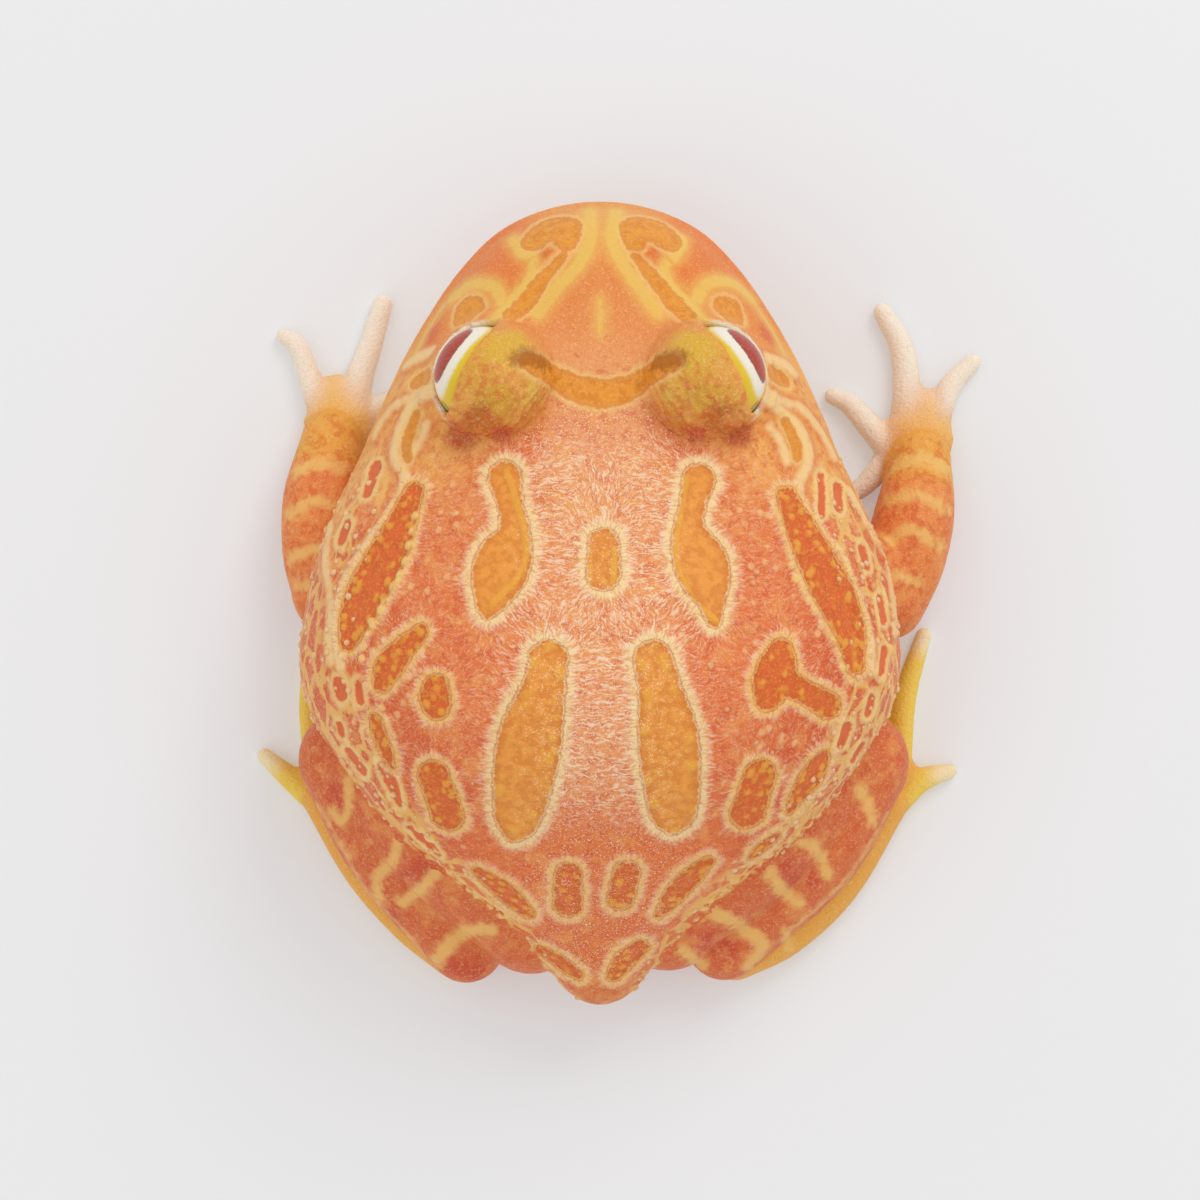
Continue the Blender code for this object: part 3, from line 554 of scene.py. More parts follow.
def outline_normal(angle):
    """The outward way in plan from the trunk's outline on the frog's left."""
    step = 0.01
    low, high = max(angle - step, 0), min(angle + step, pi)
    across = section_at(high)[0] - section_at(low)[0]
    along = LENGTH * (cos(low) - cos(high)) / 2
    return Vector((along, -across)).normalized()


def lip_swell(y, above):
    """How far the upper lip stands out at a height above the mouth line."""
    if above < 0:
        return 0.0
    fade = min(max((MOUTH_CORNER_Y - y) / -MOUTH_CORNER_Y, 0), 1)
    return LIP_PROUD * fade * exp(-(((above - LIP_RISE) / LIP_SPREAD) ** 2))


def shown(name, data):
    """Puts a mesh, a light or a camera in the scene."""
    obj = bpy.data.objects.new(name, data)
    bpy.context.scene.collection.objects.link(obj)
    return obj


def triangulated(mesh, work=None, outward=False):
    """Cuts a mesh, or what a bmesh holds for it, into triangles."""
    if work is None:
        work = bmesh.new()
        work.from_mesh(mesh)
    bmesh.ops.triangulate(work, faces=work.faces)
    if outward:
        bmesh.ops.recalc_face_normals(work, faces=work.faces)
    work.to_mesh(mesh)
    work.free()
    return mesh


def new_object(name, points, faces):
    """A closed mesh from points in mm."""
    mesh = bpy.data.meshes.new(name)
    mesh.from_pydata([Vector(p) * MM for p in points], [], faces)
    return shown(name, triangulated(mesh, outward=True))


def skinned_rings(name, rings, start, end):
    """A closed mesh over equal rings of points, drawn in to a point at each end."""
    sides = len(rings[0])
    points = [start] + [p for ring in rings for p in ring] + [end]
    tail = len(points) - 1
    faces = []
    for k in range(sides):
        n = (k + 1) % sides
        faces.append((0, 1 + n, 1 + k))
        for r in range(len(rings) - 1):
            a, b = 1 + r * sides, 1 + (r + 1) * sides
            faces.append((a + k, a + n, b + n, b + k))
        a = 1 + (len(rings) - 1) * sides
        faces.append((a + k, a + n, tail))
    return new_object(name, points, faces)


def trunk_shell():
    """Head and body in one, from the snout to the vent."""
    rings = []
    for i in range(1, TRUNK_RINGS):
        angle = pi * i / TRUNK_RINGS
        half, top, low, level, round_up, round_down = section_at(angle)
        y = SNOUT_Y + LENGTH * (1 - cos(angle)) / 2
        outward = outline_normal(angle)
        ring = []
        for k in range(TRUNK_SIDES):
            turn = 2 * pi * k / TRUNK_SIDES
            turn -= SIDE_CROWDING * sin(2 * turn) / 2
            c, s = cos(turn), sin(turn)
            power = 2 / (round_up if s >= 0 else round_down)
            reach = (top - level) if s >= 0 else (level - low)
            x = half * abs(c) ** power * (1 if c >= 0 else -1)
            z = level + reach * abs(s) ** power * (1 if s >= 0 else -1)
            proud = lip_swell(y, z - level)
            side = 1 if x >= 0 else -1
            ring.append(Vector((x + side * outward.x * proud, y + outward.y * proud, z)))
        rings.append(ring)
    start = Vector((0, SNOUT_Y - lip_swell(SNOUT_Y, 0), section_at(0.0)[3]))
    end = Vector((0, SNOUT_Y + LENGTH, section_at(pi)[3]))
    return skinned_rings("trunk", rings, start, end)


def smooth_path(joints, steps):
    """Points and radii along a smooth line through the joints."""
    places = [0.0]
    for (a, _), (b, _) in zip(joints, joints[1:]):
        places.append(places[-1] + (Vector(b) - Vector(a)).length)
    found = []
    for i in range(len(joints) - 1):
        for j in range(steps):
            found.append(places[i] + (places[i + 1] - places[i]) * j / steps)
    found.append(places[-1])
    columns = list(zip(*((*place, radius) for place, radius in joints)))
    path = []
    for at in found:
        *point, radius = [smooth_value(places, column, at) for column in columns]
        path.append((Vector(point), radius))
    return path


def tube(name, joints, sides=LIMB_SIDES, steps=LIMB_STEPS, flatness=1.0):
    """A tapered limb with round ends, along a smooth line through its joints."""
    path = smooth_path(joints, steps)
    line = [p for p, _ in path]
    ways = [(line[min(i + 1, len(line) - 1)] - line[max(i - 1, 0)]).normalized() for i in range(len(line))]
    spine = [(p, way, r) for (p, r), way in zip(path, ways)]
    first, last = spine[0], spine[-1]
    for k in range(CAP_RINGS - 1, 0, -1):
        turn = pi / 2 * k / CAP_RINGS
        spine.append((last[0] + last[1] * last[2] * cos(turn), last[1], last[2] * sin(turn)))
        spine.insert(0, (first[0] - first[1] * first[2] * cos(turn), first[1], first[2] * sin(turn)))
    rings = []
    for centre, way, radius in spine:
        across = way.cross(Vector((0, 0, 1))).normalized()
        upward = across.cross(way)
        ring = []
        for k in range(sides):
            turn = 2 * pi * (k + 0.5) / sides
            ring.append(centre + across * radius * cos(turn) + upward * radius * flatness * sin(turn))
        rings.append(ring)
    return skinned_rings(name, rings, first[0] - first[1] * first[2], last[0] + last[1] * last[2])


def digit_joints(line):
    """A digit's joints in space: it lies on the floor, pressed a little flat."""
    return [((x, y, radius * DIGIT_LIFT), radius) for (x, y), radius in line]


def web(first, second, first_reach, second_reach, columns=14, rows=12):
    """A thin skin between two digits, its free edge hanging back between them."""
    sides = []
    for line, reach in ((first, first_reach), (second, second_reach)):
        path = [p for p, _ in smooth_path(digit_joints(line), DIGIT_STEPS)]
        last = max(2, round(reach * (len(path) - 1)))
        sides.append(path[: last + 1])

    def along(path, share):
        place = share * (len(path) - 1)
        i = min(int(place), len(path) - 2)
        return path[i].lerp(path[i + 1], place - i)

    layers = []
    for half in (-0.5, 0.5):
        layer = []
        for i in range(rows + 1):
            for j in range(columns + 1):
                u = j / columns
                share = i / rows * (1 - WEB_SAG * 4 * u * (1 - u))
                point = along(sides[0], share).lerp(along(sides[1], share), u)
                layer.append(Vector((point.x, point.y, WEB_LEVEL + half * WEB_THICKNESS)))
        layers.append(layer)
    width = columns + 1
    count = (rows + 1) * width
    edge = [j for j in range(width)]
    edge += [i * width + columns for i in range(1, rows + 1)]
    edge += [rows * width + j for j in range(columns - 1, -1, -1)]
    edge += [i * width for i in range(rows - 1, 0, -1)]
    faces = []
    for i in range(rows):
        for j in range(columns):
            a, b = i * width + j, (i + 1) * width + j
            faces.append((a, a + 1, b + 1, b))
            faces.append((count + b, count + b + 1, count + a + 1, count + a))
    for a, b in zip(edge, edge[1:] + edge[:1]):
        faces.append((a, b, count + b, count + a))
    return new_object("web", layers[0] + layers[1], faces)


def ball(name, centre, size, turned=Matrix.Identity(3), segments=BALL_SEGMENTS, rings=BALL_RINGS):
    """An ellipsoid with half axes in mm, about a centre in mm."""
    work = bmesh.new()
    bmesh.ops.create_uvsphere(work, u_segments=segments, v_segments=rings, radius=1.0)
    for vert in work.verts:
        scaled = Vector(c * s for c, s in zip(vert.co, size))
        vert.co = (turned @ scaled + centre) * MM
    return shown(name, triangulated(bpy.data.meshes.new(name), work))


def mirrored(point, side):
    return Vector((point.x * side, point.y, point.z))


def eye_turn(side):
    """Turns X to the way an eye looks, keeping its Y level."""
    across = radians(-EYE_FORWARD) if side > 0 else radians(180 + EYE_FORWARD)
    return Euler((0, radians(-EYE_UP), across)).to_matrix()


def applied(obj, kind, inputs=(), **settings):
    """Applies one modifier to an object. A node modifier's inputs go by name."""
    modifier = obj.modifiers.new(kind.lower(), kind)
    for name, value in settings.items():
        setattr(modifier, name, value)
    if inputs:
        for item in modifier.node_group.interface.items_tree:
            if item.name in inputs:
                modifier[item.identifier] = inputs[item.name]
    graph = bpy.context.evaluated_depsgraph_get()
    mesh = bpy.data.meshes.new_from_object(obj.evaluated_get(graph))
    obj.modifiers.clear()
    obj.data = mesh
    return obj


def cut(obj, others):
    """Cuts others from obj and removes them."""
    group = bpy.data.collections.new("cutters")
    for other in others:
        group.objects.link(other)
    applied(obj, "BOOLEAN", operation="DIFFERENCE", operand_type="COLLECTION", collection=group)
    for other in others:
        bpy.data.objects.remove(other, do_unlink=True)
    bpy.data.collections.remove(group)
    return obj


def socket(side):
    size = EYE_RADIUS + SOCKET_GAP
    return ball("socket", mirrored(EYE_CENTRE, side), Vector((size, size, size)), eye_turn(side))


def body_shells():
    """Every part of the flesh as a closed shell, overlapping its neighbours."""
    shells = [cut(trunk_shell(), [socket(1), socket(-1)])]
    for side in (1, -1):
        tilt = Euler((radians(NOSTRIL_PITCH), 0, radians(NOSTRIL_YAW * side))).to_matrix()
        shells.append(ball("rim", mirrored(NOSTRIL, side), NOSTRIL_RIM, tilt, 24, 16))
        yaw = Euler((0, 0, radians(ORBIT_YAW * side))).to_matrix()
        shells.append(cut(ball("orbit", mirrored(ORBIT_CENTRE, side), ORBIT_SIZE, yaw), [socket(side)]))
        turned = eye_turn(side)
        ahead = mirrored(EYE_CENTRE, side) + turned @ Vector((LID_OPENING.x, 0, 0))
        opening = ball("opening", ahead, LID_OPENING, turned)
        shells.append(cut(ball("lid", mirrored(LID_CENTRE, side), LID_SIZE), [opening, socket(side)]))
    for side in ("left", "right"):
        arm, leg = ARMS[side], LEGS[side]
        for name, flatness in (("upper_arm", 1.0), ("forearm", 1.0), ("palm", PALM_FLATNESS)):
            shells.append(tube(name, arm[name], flatness=flatness))
        for name, flatness in (("thigh", 1.0), ("shank", 1.0), ("tarsus", 1.0), ("sole", PALM_FLATNESS)):
            shells.append(tube(name, leg[name], flatness=flatness))
        for lines, webs in ((arm["fingers"], HAND_WEBS), (leg["toes"], FOOT_WEBS)):
            for line in lines:
                shells.append(tube("digit", digit_joints(line), DIGIT_SIDES, DIGIT_STEPS))
            for first, second, first_reach, second_reach in webs:
                shells.append(web(lines[first], lines[second], first_reach, second_reach))
    return shells


def melted(shells, voxel):
    """One closed surface around overlapping shells, which are removed."""
    work = bmesh.new()
    for shell in shells:
        work.from_mesh(shell.data)
        bpy.data.objects.remove(shell, do_unlink=True)
    mesh = bpy.data.meshes.new("skin")
    work.to_mesh(mesh)
    work.free()
    return applied(shown("skin", mesh), "REMESH", mode="VOXEL", voxel_size=voxel * MM)


def read(items, name, width=1, kind=np.float32):
    """One property of every item of a mesh, as a table."""
    flat = np.empty(len(items) * width, kind)
    items.foreach_get(name, flat)
    return flat.reshape(-1, width) if width > 1 else flat


def points_of(mesh):
    """A mesh's points in mm."""
    return read(mesh.vertices, "co", 3).astype(float) / MM


def set_points(mesh, points):
    mesh.vertices.foreach_set("co", (points * MM).astype(np.float32).ravel())
    mesh.update()


def normals_of(mesh):
    return read(mesh.vertex_normals, "vector", 3).astype(float)


def edges_of(mesh):
    return read(mesh.edges, "vertices", 2, np.int32)


def spread(values, edges, passes, share=0.5):
    """Draws each point's value towards the mean of its neighbours, pass by pass."""
    values = np.array(values, float)
    table = values.reshape(len(values), -1)
    count = np.maximum(np.bincount(edges.ravel(), minlength=len(table)), 1)[:, None]
    shares = [share] * passes if np.isscalar(share) else list(share) * passes
    for part in shares:
        total = np.empty_like(table)
        for c in range(table.shape[1]):
            total[:, c] = np.bincount(edges[:, 0], table[edges[:, 1], c], len(table))
            total[:, c] += np.bincount(edges[:, 1], table[edges[:, 0], c], len(table))
        table = table + part * (total / count - table)
    return table.reshape(values.shape)


def ramp(values, low, high):
    """Rises smoothly from 0 at low to 1 at high, or falls where high is below low."""
    t = np.clip((values - low) / (high - low), 0, 1)
    return t * t * (3 - 2 * t)


def bump(values, width):
    return np.exp(-((values / width) ** 2))


def section_table():
    """Sections at even steps along the trunk, for reading at any point's y."""
    steps = [i / 600 for i in range(601)]
    rows = np.array([section_at(angle_of(s)) for s in steps])
    return SNOUT_Y + LENGTH * np.array(steps), rows


def trunk_values(points):
    """For each point, its share of the way out to the trunk's surface, and its height over the lip line."""
    ys, rows = section_table()
    half, top, low, level, round_up, round_down = (np.interp(points[:, 1], ys, rows[:, c]) for c in range(6))
    above = points[:, 2] - level
    power = np.where(above >= 0, round_up, round_down)
    reach = np.where(above >= 0, top - level, level - low)
    across = np.abs(points[:, 0]) / np.maximum(half, 0.1)
    share = (across**power + (np.abs(above) / np.maximum(reach, 0.1)) ** power) ** (1 / power)
    return share, above


class Ground:
    """Finds the height of the skin under a place in plan."""

    def __init__(self, mesh):
        loops = read(mesh.loops, "vertex_index", kind=np.int32)
        totals = read(mesh.polygons, "loop_total", kind=np.int32)
        faces = np.split(loops, np.cumsum(totals)[:-1])
        self.tree = BVHTree.FromPolygons(points_of(mesh).tolist(), [f.tolist() for f in faces])

    def height(self, x, y):
        hit = self.tree.ray_cast(Vector((x, y, 2 * BACK_HEIGHT)), Vector((0, 0, -1)))[0]
        return hit.z if hit else 0.0


# How much a difference in height counts beside one in plan, and a distance past any marking
DEPTH_WEIGHT = 0.45
FAR = 1e3
# How far from gold and from small spots the way out is still known
SPOT_REACH = (14.0, 12.0)
WART_SPACING = 1.7


def chain_distance(points, chain, ground, reach, steps=4):
    """Distance in mm from a chain of discs laid on the skin, less than 0 inside, and the way out in plan.

    Points further off than the reach are left out."""
    weight = np.array((1, 1, DEPTH_WEIGHT))
    path = [((*p, ground.height(*p)), r) for p, r in smooth_path(chain, steps)]
    middles = np.array([p for p, _ in path])
    low, high = middles[:, :2].min(axis=0) - reach, middles[:, :2].max(axis=0) + reach
    near = np.flatnonzero(np.all((points[:, :2] > low) & (points[:, :2] < high), axis=1))
    close = points[near]
    best = np.full(len(close), FAR)
    way = np.zeros((len(close), 2))
    for (a, ra), (b, rb) in zip(path, path[1:]):
        start, line = np.array(a) * weight, (np.array(b) - np.array(a)) * weight
        offset = close * weight - start
        t = np.clip(offset @ line / max(line @ line, 1e-9), 0, 1)
        rest = offset - t[:, None] * line
        length = np.linalg.norm(rest, axis=1)
        found = length - (ra + t * (rb - ra))
        closer = found < best
        best = np.where(closer, found, best)
        way[closer] = rest[closer, :2] / np.maximum(length[closer, None], 1e-6)
    return near, best, way


def nearest_chain(points, chains, ground, reach=4.0):
    """The least distance to any of the chains and the way out from it."""
    best = np.full(len(points), FAR)
    way = np.zeros((len(points), 2))
    for chain in chains:
        near, found, found_way = chain_distance(points, chain, ground, reach)
        closer = found < best[near]
        best[near[closer]] = found[closer]
        way[near[closer]] = found_way[closer]
    return best, way


def spot_fields(points, ground):
    """For each point the distance from the nearest spot, the way out from it and the kind of spot."""
    (gold, gold_way), (ember, ember_way) = (
        nearest_chain(points, chains, ground, reach)
        for chains, reach in zip((GOLD_SPOTS, EMBER_SPOTS), SPOT_REACH)
    )
    kind = (ember < gold).astype(int)
    return np.minimum(gold, ember), np.where(kind[:, None], ember_way, gold_way), kind


def seed_shift(seed):
    return Vector((seed, seed * 1.7, seed * 2.3))


def cell_noise(points, size, seed):
    """Distance to the nearest of scattered points about size mm apart, as a share of that size."""
    shift = seed_shift(seed)
    return np.array([noise.voronoi(Vector(p) / size + shift)[0][0] for p in points])


def smooth_noise(points, size, seed):
    shift = seed_shift(seed)
    return np.array([noise.noise(Vector(p) / size + shift) for p in points])


def gilt_share(points, spot, kind, ground):
    """How much of each point inside a spot is a raised golden lump or fold."""
    share = np.zeros(len(points))
    inside = np.flatnonzero(spot < 0.2)
    close, depth = points[inside], spot[inside]
    size = np.where(kind[inside] == 0, 2.0, 1.3)
    lumps = ramp(cell_noise(close / size[:, None], 1.0, 6), 0.62, 0.2) * ramp(depth, 0.0, -0.45)
    lumps *= 0.3 + 0.7 * ramp(depth, -2.2, -1.0)
    lumps *= np.where((kind[inside] == 0) & (close[:, 1] < 5), 0.15, 1)
    folds, _ = nearest_chain(close, GILT_LINES, ground, 2.0)
    share[inside] = np.maximum(lumps, ramp(folds, 0.35, -0.15) * ramp(depth, 0.0, -0.3))
    return share


def wart_share(points, height):
    """How much of each point is the top of a low wart."""
    patchy = 0.3 + 0.7 * ramp(smooth_noise(points, 4.0, 9), -0.25, 0.2)
    return ramp(cell_noise(points, WART_SPACING, 3), 0.5, 0.1) * height * patchy


def wart_height(points, on_trunk):
    """Warts stand highest on the flanks and limbs, and there are almost none on the head and hands."""
    height = 0.35 + 0.65 * ramp(np.abs(points[:, 0]), 8, 24)
    height *= ramp(points[:, 1], -30, -12) * ramp(points[:, 2], 3, 8)
    return height * (0.4 + 0.6 * on_trunk)


def bead_places():
    """Places and radii of the large beads, and of those that edge the bands of the flanks."""
    found = [((x, y), radius) for x, y, radius in BIG_BEADS]
    for line in BEAD_LINES:
        path = [Vector((*p, 0)) for p, _ in smooth_path(line, 8)]
        left = 0.0
        for a, b in zip(path, path[1:]):
            left -= (b - a).length
            if left < 0:
                wave = noise.noise(b * 0.7)
                found.append(((b.x, b.y), 0.72 + 0.4 * wave))
                left = 1.35 + 0.8 * wave
    return found


def bead_shares(points, ground):
    """How much of each point is the raised top of a large bead."""
    share = np.zeros(len(points))
    for place, radius in bead_places():
        middle = np.array((*place, ground.height(*place)))
        near = np.flatnonzero(np.all(np.abs(points - middle) < 2 * radius, axis=1))
        away = np.linalg.norm(points[near] - middle, axis=1)
        share[near] = np.maximum(share[near], ramp(away, radius * 1.3, radius * 0.3))
    return share


BODY_PARTS = {
    "trunk": ("head", "lower_jaw", "torso"),
    "lid": ("eyelid",),
    "arm": ("upper_arm", "forearm"),
    "hand": ("hand",),
    "finger": ("finger",),
    "leg": ("thigh", "shank"),
    "foot": ("foot",),
    "toe": ("toe",),
}


def distance_from(points, place):
    return np.linalg.norm(points - np.array(place), axis=1)


def part_shares(points, edges):
    """How much of each point belongs to each part of the body, by the nearest solid."""
    distances = []
    for starts in BODY_PARTS.values():
        verts, faces = [], []
        for name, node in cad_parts.items():
            if name.startswith(starts):
                base = len(verts)
                verts += [v.co / MM for v in node.data.vertices]
                faces += [[base + i for i in face.vertices] for face in node.data.polygons]
        tree = BVHTree.FromPolygons(verts, faces)
        distances.append([tree.find_nearest(Vector(p))[3] for p in points])
    nearest = np.argmin(np.array(distances), axis=0)
    return {name: spread((nearest == i).astype(float), edges, 3) for i, name in enumerate(BODY_PARTS)}


def from_eye(points, side):
    """Each point's offset from an eye's centre, how far it is, and its angle from the way the eye looks."""
    centre = mirrored(EYE_CENTRE, side)
    offset, away = points - np.array(centre), distance_from(points, centre)
    axis = np.array(eye_turn(side) @ Vector((1, 0, 0)))
    angle = np.degrees(np.arccos(np.clip(offset @ axis / np.maximum(away, 0.1), -1, 1)))
    return offset, away, angle


FILL_PASSES = 170
ROOT_PASSES = 20


def filled(mesh, points, edges, near, share):
    """Draws the near points out to a softer surface, wherever that lies outside."""
    place = np.full(len(points), -1)
    place[near] = np.arange(len(near))
    local = place[edges]
    local = local[np.all(local >= 0, axis=1)]
    set_points(mesh, points)
    normals = normals_of(mesh)[near]
    close = points[near]
    rise = np.sum((spread(close, local, FILL_PASSES) - close) * normals, axis=1)
    points[near] += normals * (np.maximum(rise, 0) * share)[:, None]


def smoothed(obj):
    """Smooths the melted skin, and fills the hollows beside each eyelid and wrist."""
    mesh = obj.data
    edges = edges_of(mesh)
    points = spread(points_of(mesh), edges, 4, share=(0.5, -0.52))

    # Around each orbit the hollow is filled, least behind the eye
    near = np.flatnonzero((points[:, 1] > -46) & (points[:, 1] < -10) & (points[:, 2] > 14))
    share = np.zeros(len(near))
    for side in (1, -1):
        offset, away, _ = from_eye(points[near], side)
        inward = ramp(offset[:, 0] * side, 3.0, -4.0)
        ahead = 0.6 * ramp(offset[:, 1], 0.0, -6.0)
        clear = ramp(away, EYE_RADIUS + 0.4, EYE_RADIUS + 1.8)
        share = np.maximum(share, clear * ramp(away, 16, 11) * np.clip(0.15 + inward + ahead, 0, 0.85))
    filled(mesh, points, edges, near, share)

    # Each forearm runs on into its hand
    for arm in ARMS.values():
        away = distance_from(points, arm["forearm"][-1][0])
        near = np.flatnonzero(away < 12)
        filled(mesh, points, edges, near, 0.9 * ramp(away[near], 9, 5))

    # The foot of each orbit, and the rim of each nostril, blend into the head on every side
    root = np.zeros(len(points))
    for side in (1, -1):
        offset = points - np.array(mirrored(ORBIT_CENTRE, side))
        ring = np.linalg.norm(offset / np.array(ORBIT_SIZE), axis=1)
        away = distance_from(points, mirrored(EYE_CENTRE, side))
        root = np.maximum(root, bump(ring - 1.05, 0.35) * ramp(away, EYE_RADIUS + 0.6, EYE_RADIUS + 1.6))
        root = np.maximum(root, 0.9 * bump(distance_from(points, mirrored(NOSTRIL, side)), 3.0))
    points += root[:, None] * (spread(points, edges, ROOT_PASSES) - points)
    set_points(mesh, points)


# Relief of the skin in mm, up or down from it
NOSTRIL_DEPTH = 0.6
NOSTRIL_OPENING = (0.5, 0.8, 1.6)
WRINKLE_HEIGHT = 0.17
WRINKLE_STEP = 8.5
RIM_HEIGHT = 0.13
SPOT_DEPTH = 0.12
GILT_HEIGHT = 0.3
FOLD_HEIGHT = 0.42
BEAD_HEIGHT = 0.42
CELL_RIM_HEIGHT = 0.2
CELL_DEPTH = 0.15
PATCH_DEPTH = 0.1
SWELL_HEIGHT = 0.22


def sculpt(obj, ground, settings):
    """Gives the skin its mouth, nostrils, folds, spots and low warts."""
    mesh = obj.data
    points, normals = points_of(mesh), normals_of(mesh)
    share, above = trunk_values(points)
    on_trunk = ramp(np.abs(share - 1), 0.09, 0.04)
    _, y, z = points.T

    # Mouth line, with the jaw closing inside the upper lip
    fade = ramp(y, MOUTH_CORNER_Y + 1.5, MOUTH_CORNER_Y - 3.0) * on_trunk
    lift = -MOUTH_DEPTH * fade * bump(above + 0.1, MOUTH_WIDTH)
    lift -= JAW_INSET * fade * ramp(above, 0.1, -0.5)

    # Nostrils, open to the sides
    for side in (1, -1):
        offset = points - np.array(mirrored(NOSTRIL_PIT, side))
        across, along, up = (offset / NOSTRIL_OPENING).T
        lift -= NOSTRIL_DEPTH * np.exp(-(across**2) - along**2 - up**2)

    # Wrinkles that run round the lids, deepest behind the eye
    wander = smooth_noise(points, 3.0, 5)
    for side in (1, -1):
        offset, away, angle = from_eye(points, side)
        lid = ramp(away, 11.5, 9.2) * ramp(away, EYE_RADIUS + 0.1, EYE_RADIUS + 0.5)
        rear = 0.25 + 0.75 * ramp(offset[:, 1], -1.0, 3.5)
        angle = angle + 12 * wander
        waves = np.cos(np.radians(360 / WRINKLE_STEP) * angle)
        lift += lid * rear * WRINKLE_HEIGHT * waves * ramp(angle, 50, 75)

    # Spots lie a little sunk inside raised rims, with golden lumps in them
    spot, _, kind = spot_fields(points, ground)
    body = ramp(z, 6, 10) * ramp(on_trunk, 0.1, 0.6)
    rim = np.array(HALO_WIDTHS)[kind]
    rims = RIM_HEIGHT * rim * bump(spot - 0.5 * rim, 0.5 * rim)
    lift += body * (rims - SPOT_DEPTH * ramp(spot, 0.2, -0.4))
    lift += body * GILT_HEIGHT * gilt_share(points, spot, kind, ground)
    folds, cells, sinks = (
        nearest_chain(points, chains, ground)[0] for chains in (FOLD_LINES, FLANK_CELLS, PATCHES)
    )
    lift += body * FOLD_HEIGHT * bump(np.maximum(folds, 0), 0.6)
    lift += body * BEAD_HEIGHT * bead_shares(points, ground)
    lift += body * (CELL_RIM_HEIGHT * bump(cells - 0.4, 0.4) - CELL_DEPTH * ramp(cells, 0.2, -0.3))
    lift -= body * PATCH_DEPTH * ramp(sinks, 0.3, -0.4)

    # Low warts
    height = wart_height(points, on_trunk)
    lift += settings.wart_height * (wart_share(points, height) - 0.25 * height)
    lift += SWELL_HEIGHT * height * smooth_noise(points, 5.0, 8)

    points += normals * lift[:, None]
    points[:, 2] = np.maximum(points[:, 2], 0)
    set_points(mesh, points)


def thinned(obj, most):
    """Joins the smallest triangles until no more than a given number are left."""
    count = sum(len(face.vertices) - 2 for face in obj.data.polygons)
    if count > most:
        applied(obj, "DECIMATE", ratio=most / count)
    triangulated(obj.data)


def put(mesh, name, values):
    """Keeps a number, a colour or a pair of numbers at each point of the mesh."""
    values = np.asarray(values, np.float32)
    if values.ndim == 1:
        mesh.attributes.new(name, "FLOAT", "POINT").data.foreach_set("value", values)
        return
    table = np.zeros((len(values), 3), np.float32)
    table[:, : values.shape[1]] = values
    mesh.attributes.new(name, "FLOAT_VECTOR", "POINT").data.foreach_set("vector", table.ravel())


def ground_colours(points, shares, above, ground):
    """Ground colour of each point, from the place on the trunk or the part of the limb."""
    total = np.zeros((len(points), 3))
    weight = np.full(len(points), 1e-6)
    for across, back, width, colour in GROUND:
        away = np.hypot(np.abs(points[:, 0]) - across, points[:, 1] - back)
        part = np.exp(-((away / width) ** 2)) + 1e-4
        total += part[:, None] * np.array(linear(colour))
        weight += part
    colours = total / weight[:, None]

    def wash(share, colour):
        nonlocal colours
        colours = colours + share[:, None] * (np.array(linear(colour)) - colours)

    for (across, back), width, colour in WASHES:
        for side in (1, -1):
            middle = np.array((across * side, back, ground.height(across * side, back)))
            away = np.linalg.norm((points - middle) * (1, 1, 0.7), axis=1)
            wash(0.95 * ramp(away, width * 1.25, width * 0.5), colour)
    for part, colour in LIMB_COLOURS.items():
        wash(shares[part], colour)
    for arm in ARMS.values():
        wash(shares["arm"] * ramp(distance_from(points, arm["forearm"][-1][0]), 7.5, 5.0), WRIST_COLOUR)
    for leg in LEGS.values():
        for line in leg["toes"]:
            away = distance_from(points[:, :2], line[-1][0])
            wash(0.8 * shares["toe"] * ramp(away, 4.0, 0.5), TOE_TIP_COLOUR)
    panels, _ = nearest_chain(points, RED_PANELS, ground)
    wash(ramp(panels, 0.9, -0.3) * (shares["leg"] + shares["foot"]), PANEL_COLOUR)
    wash(ramp(points[:, 2], 9, 3) * shares["trunk"] * ramp(above, -3, -9), BELLY_COLOUR)
    for side in (1, -1):
        offset, away, angle = from_eye(points, side)
        margin = ramp(away, EYE_RADIUS + 1.1, EYE_RADIUS + 0.55) * ramp(offset[:, 2], 1.5, 0.0)
        wash(margin * ramp(angle, 105, 88), LID_RIM_COLOUR)
    return colours


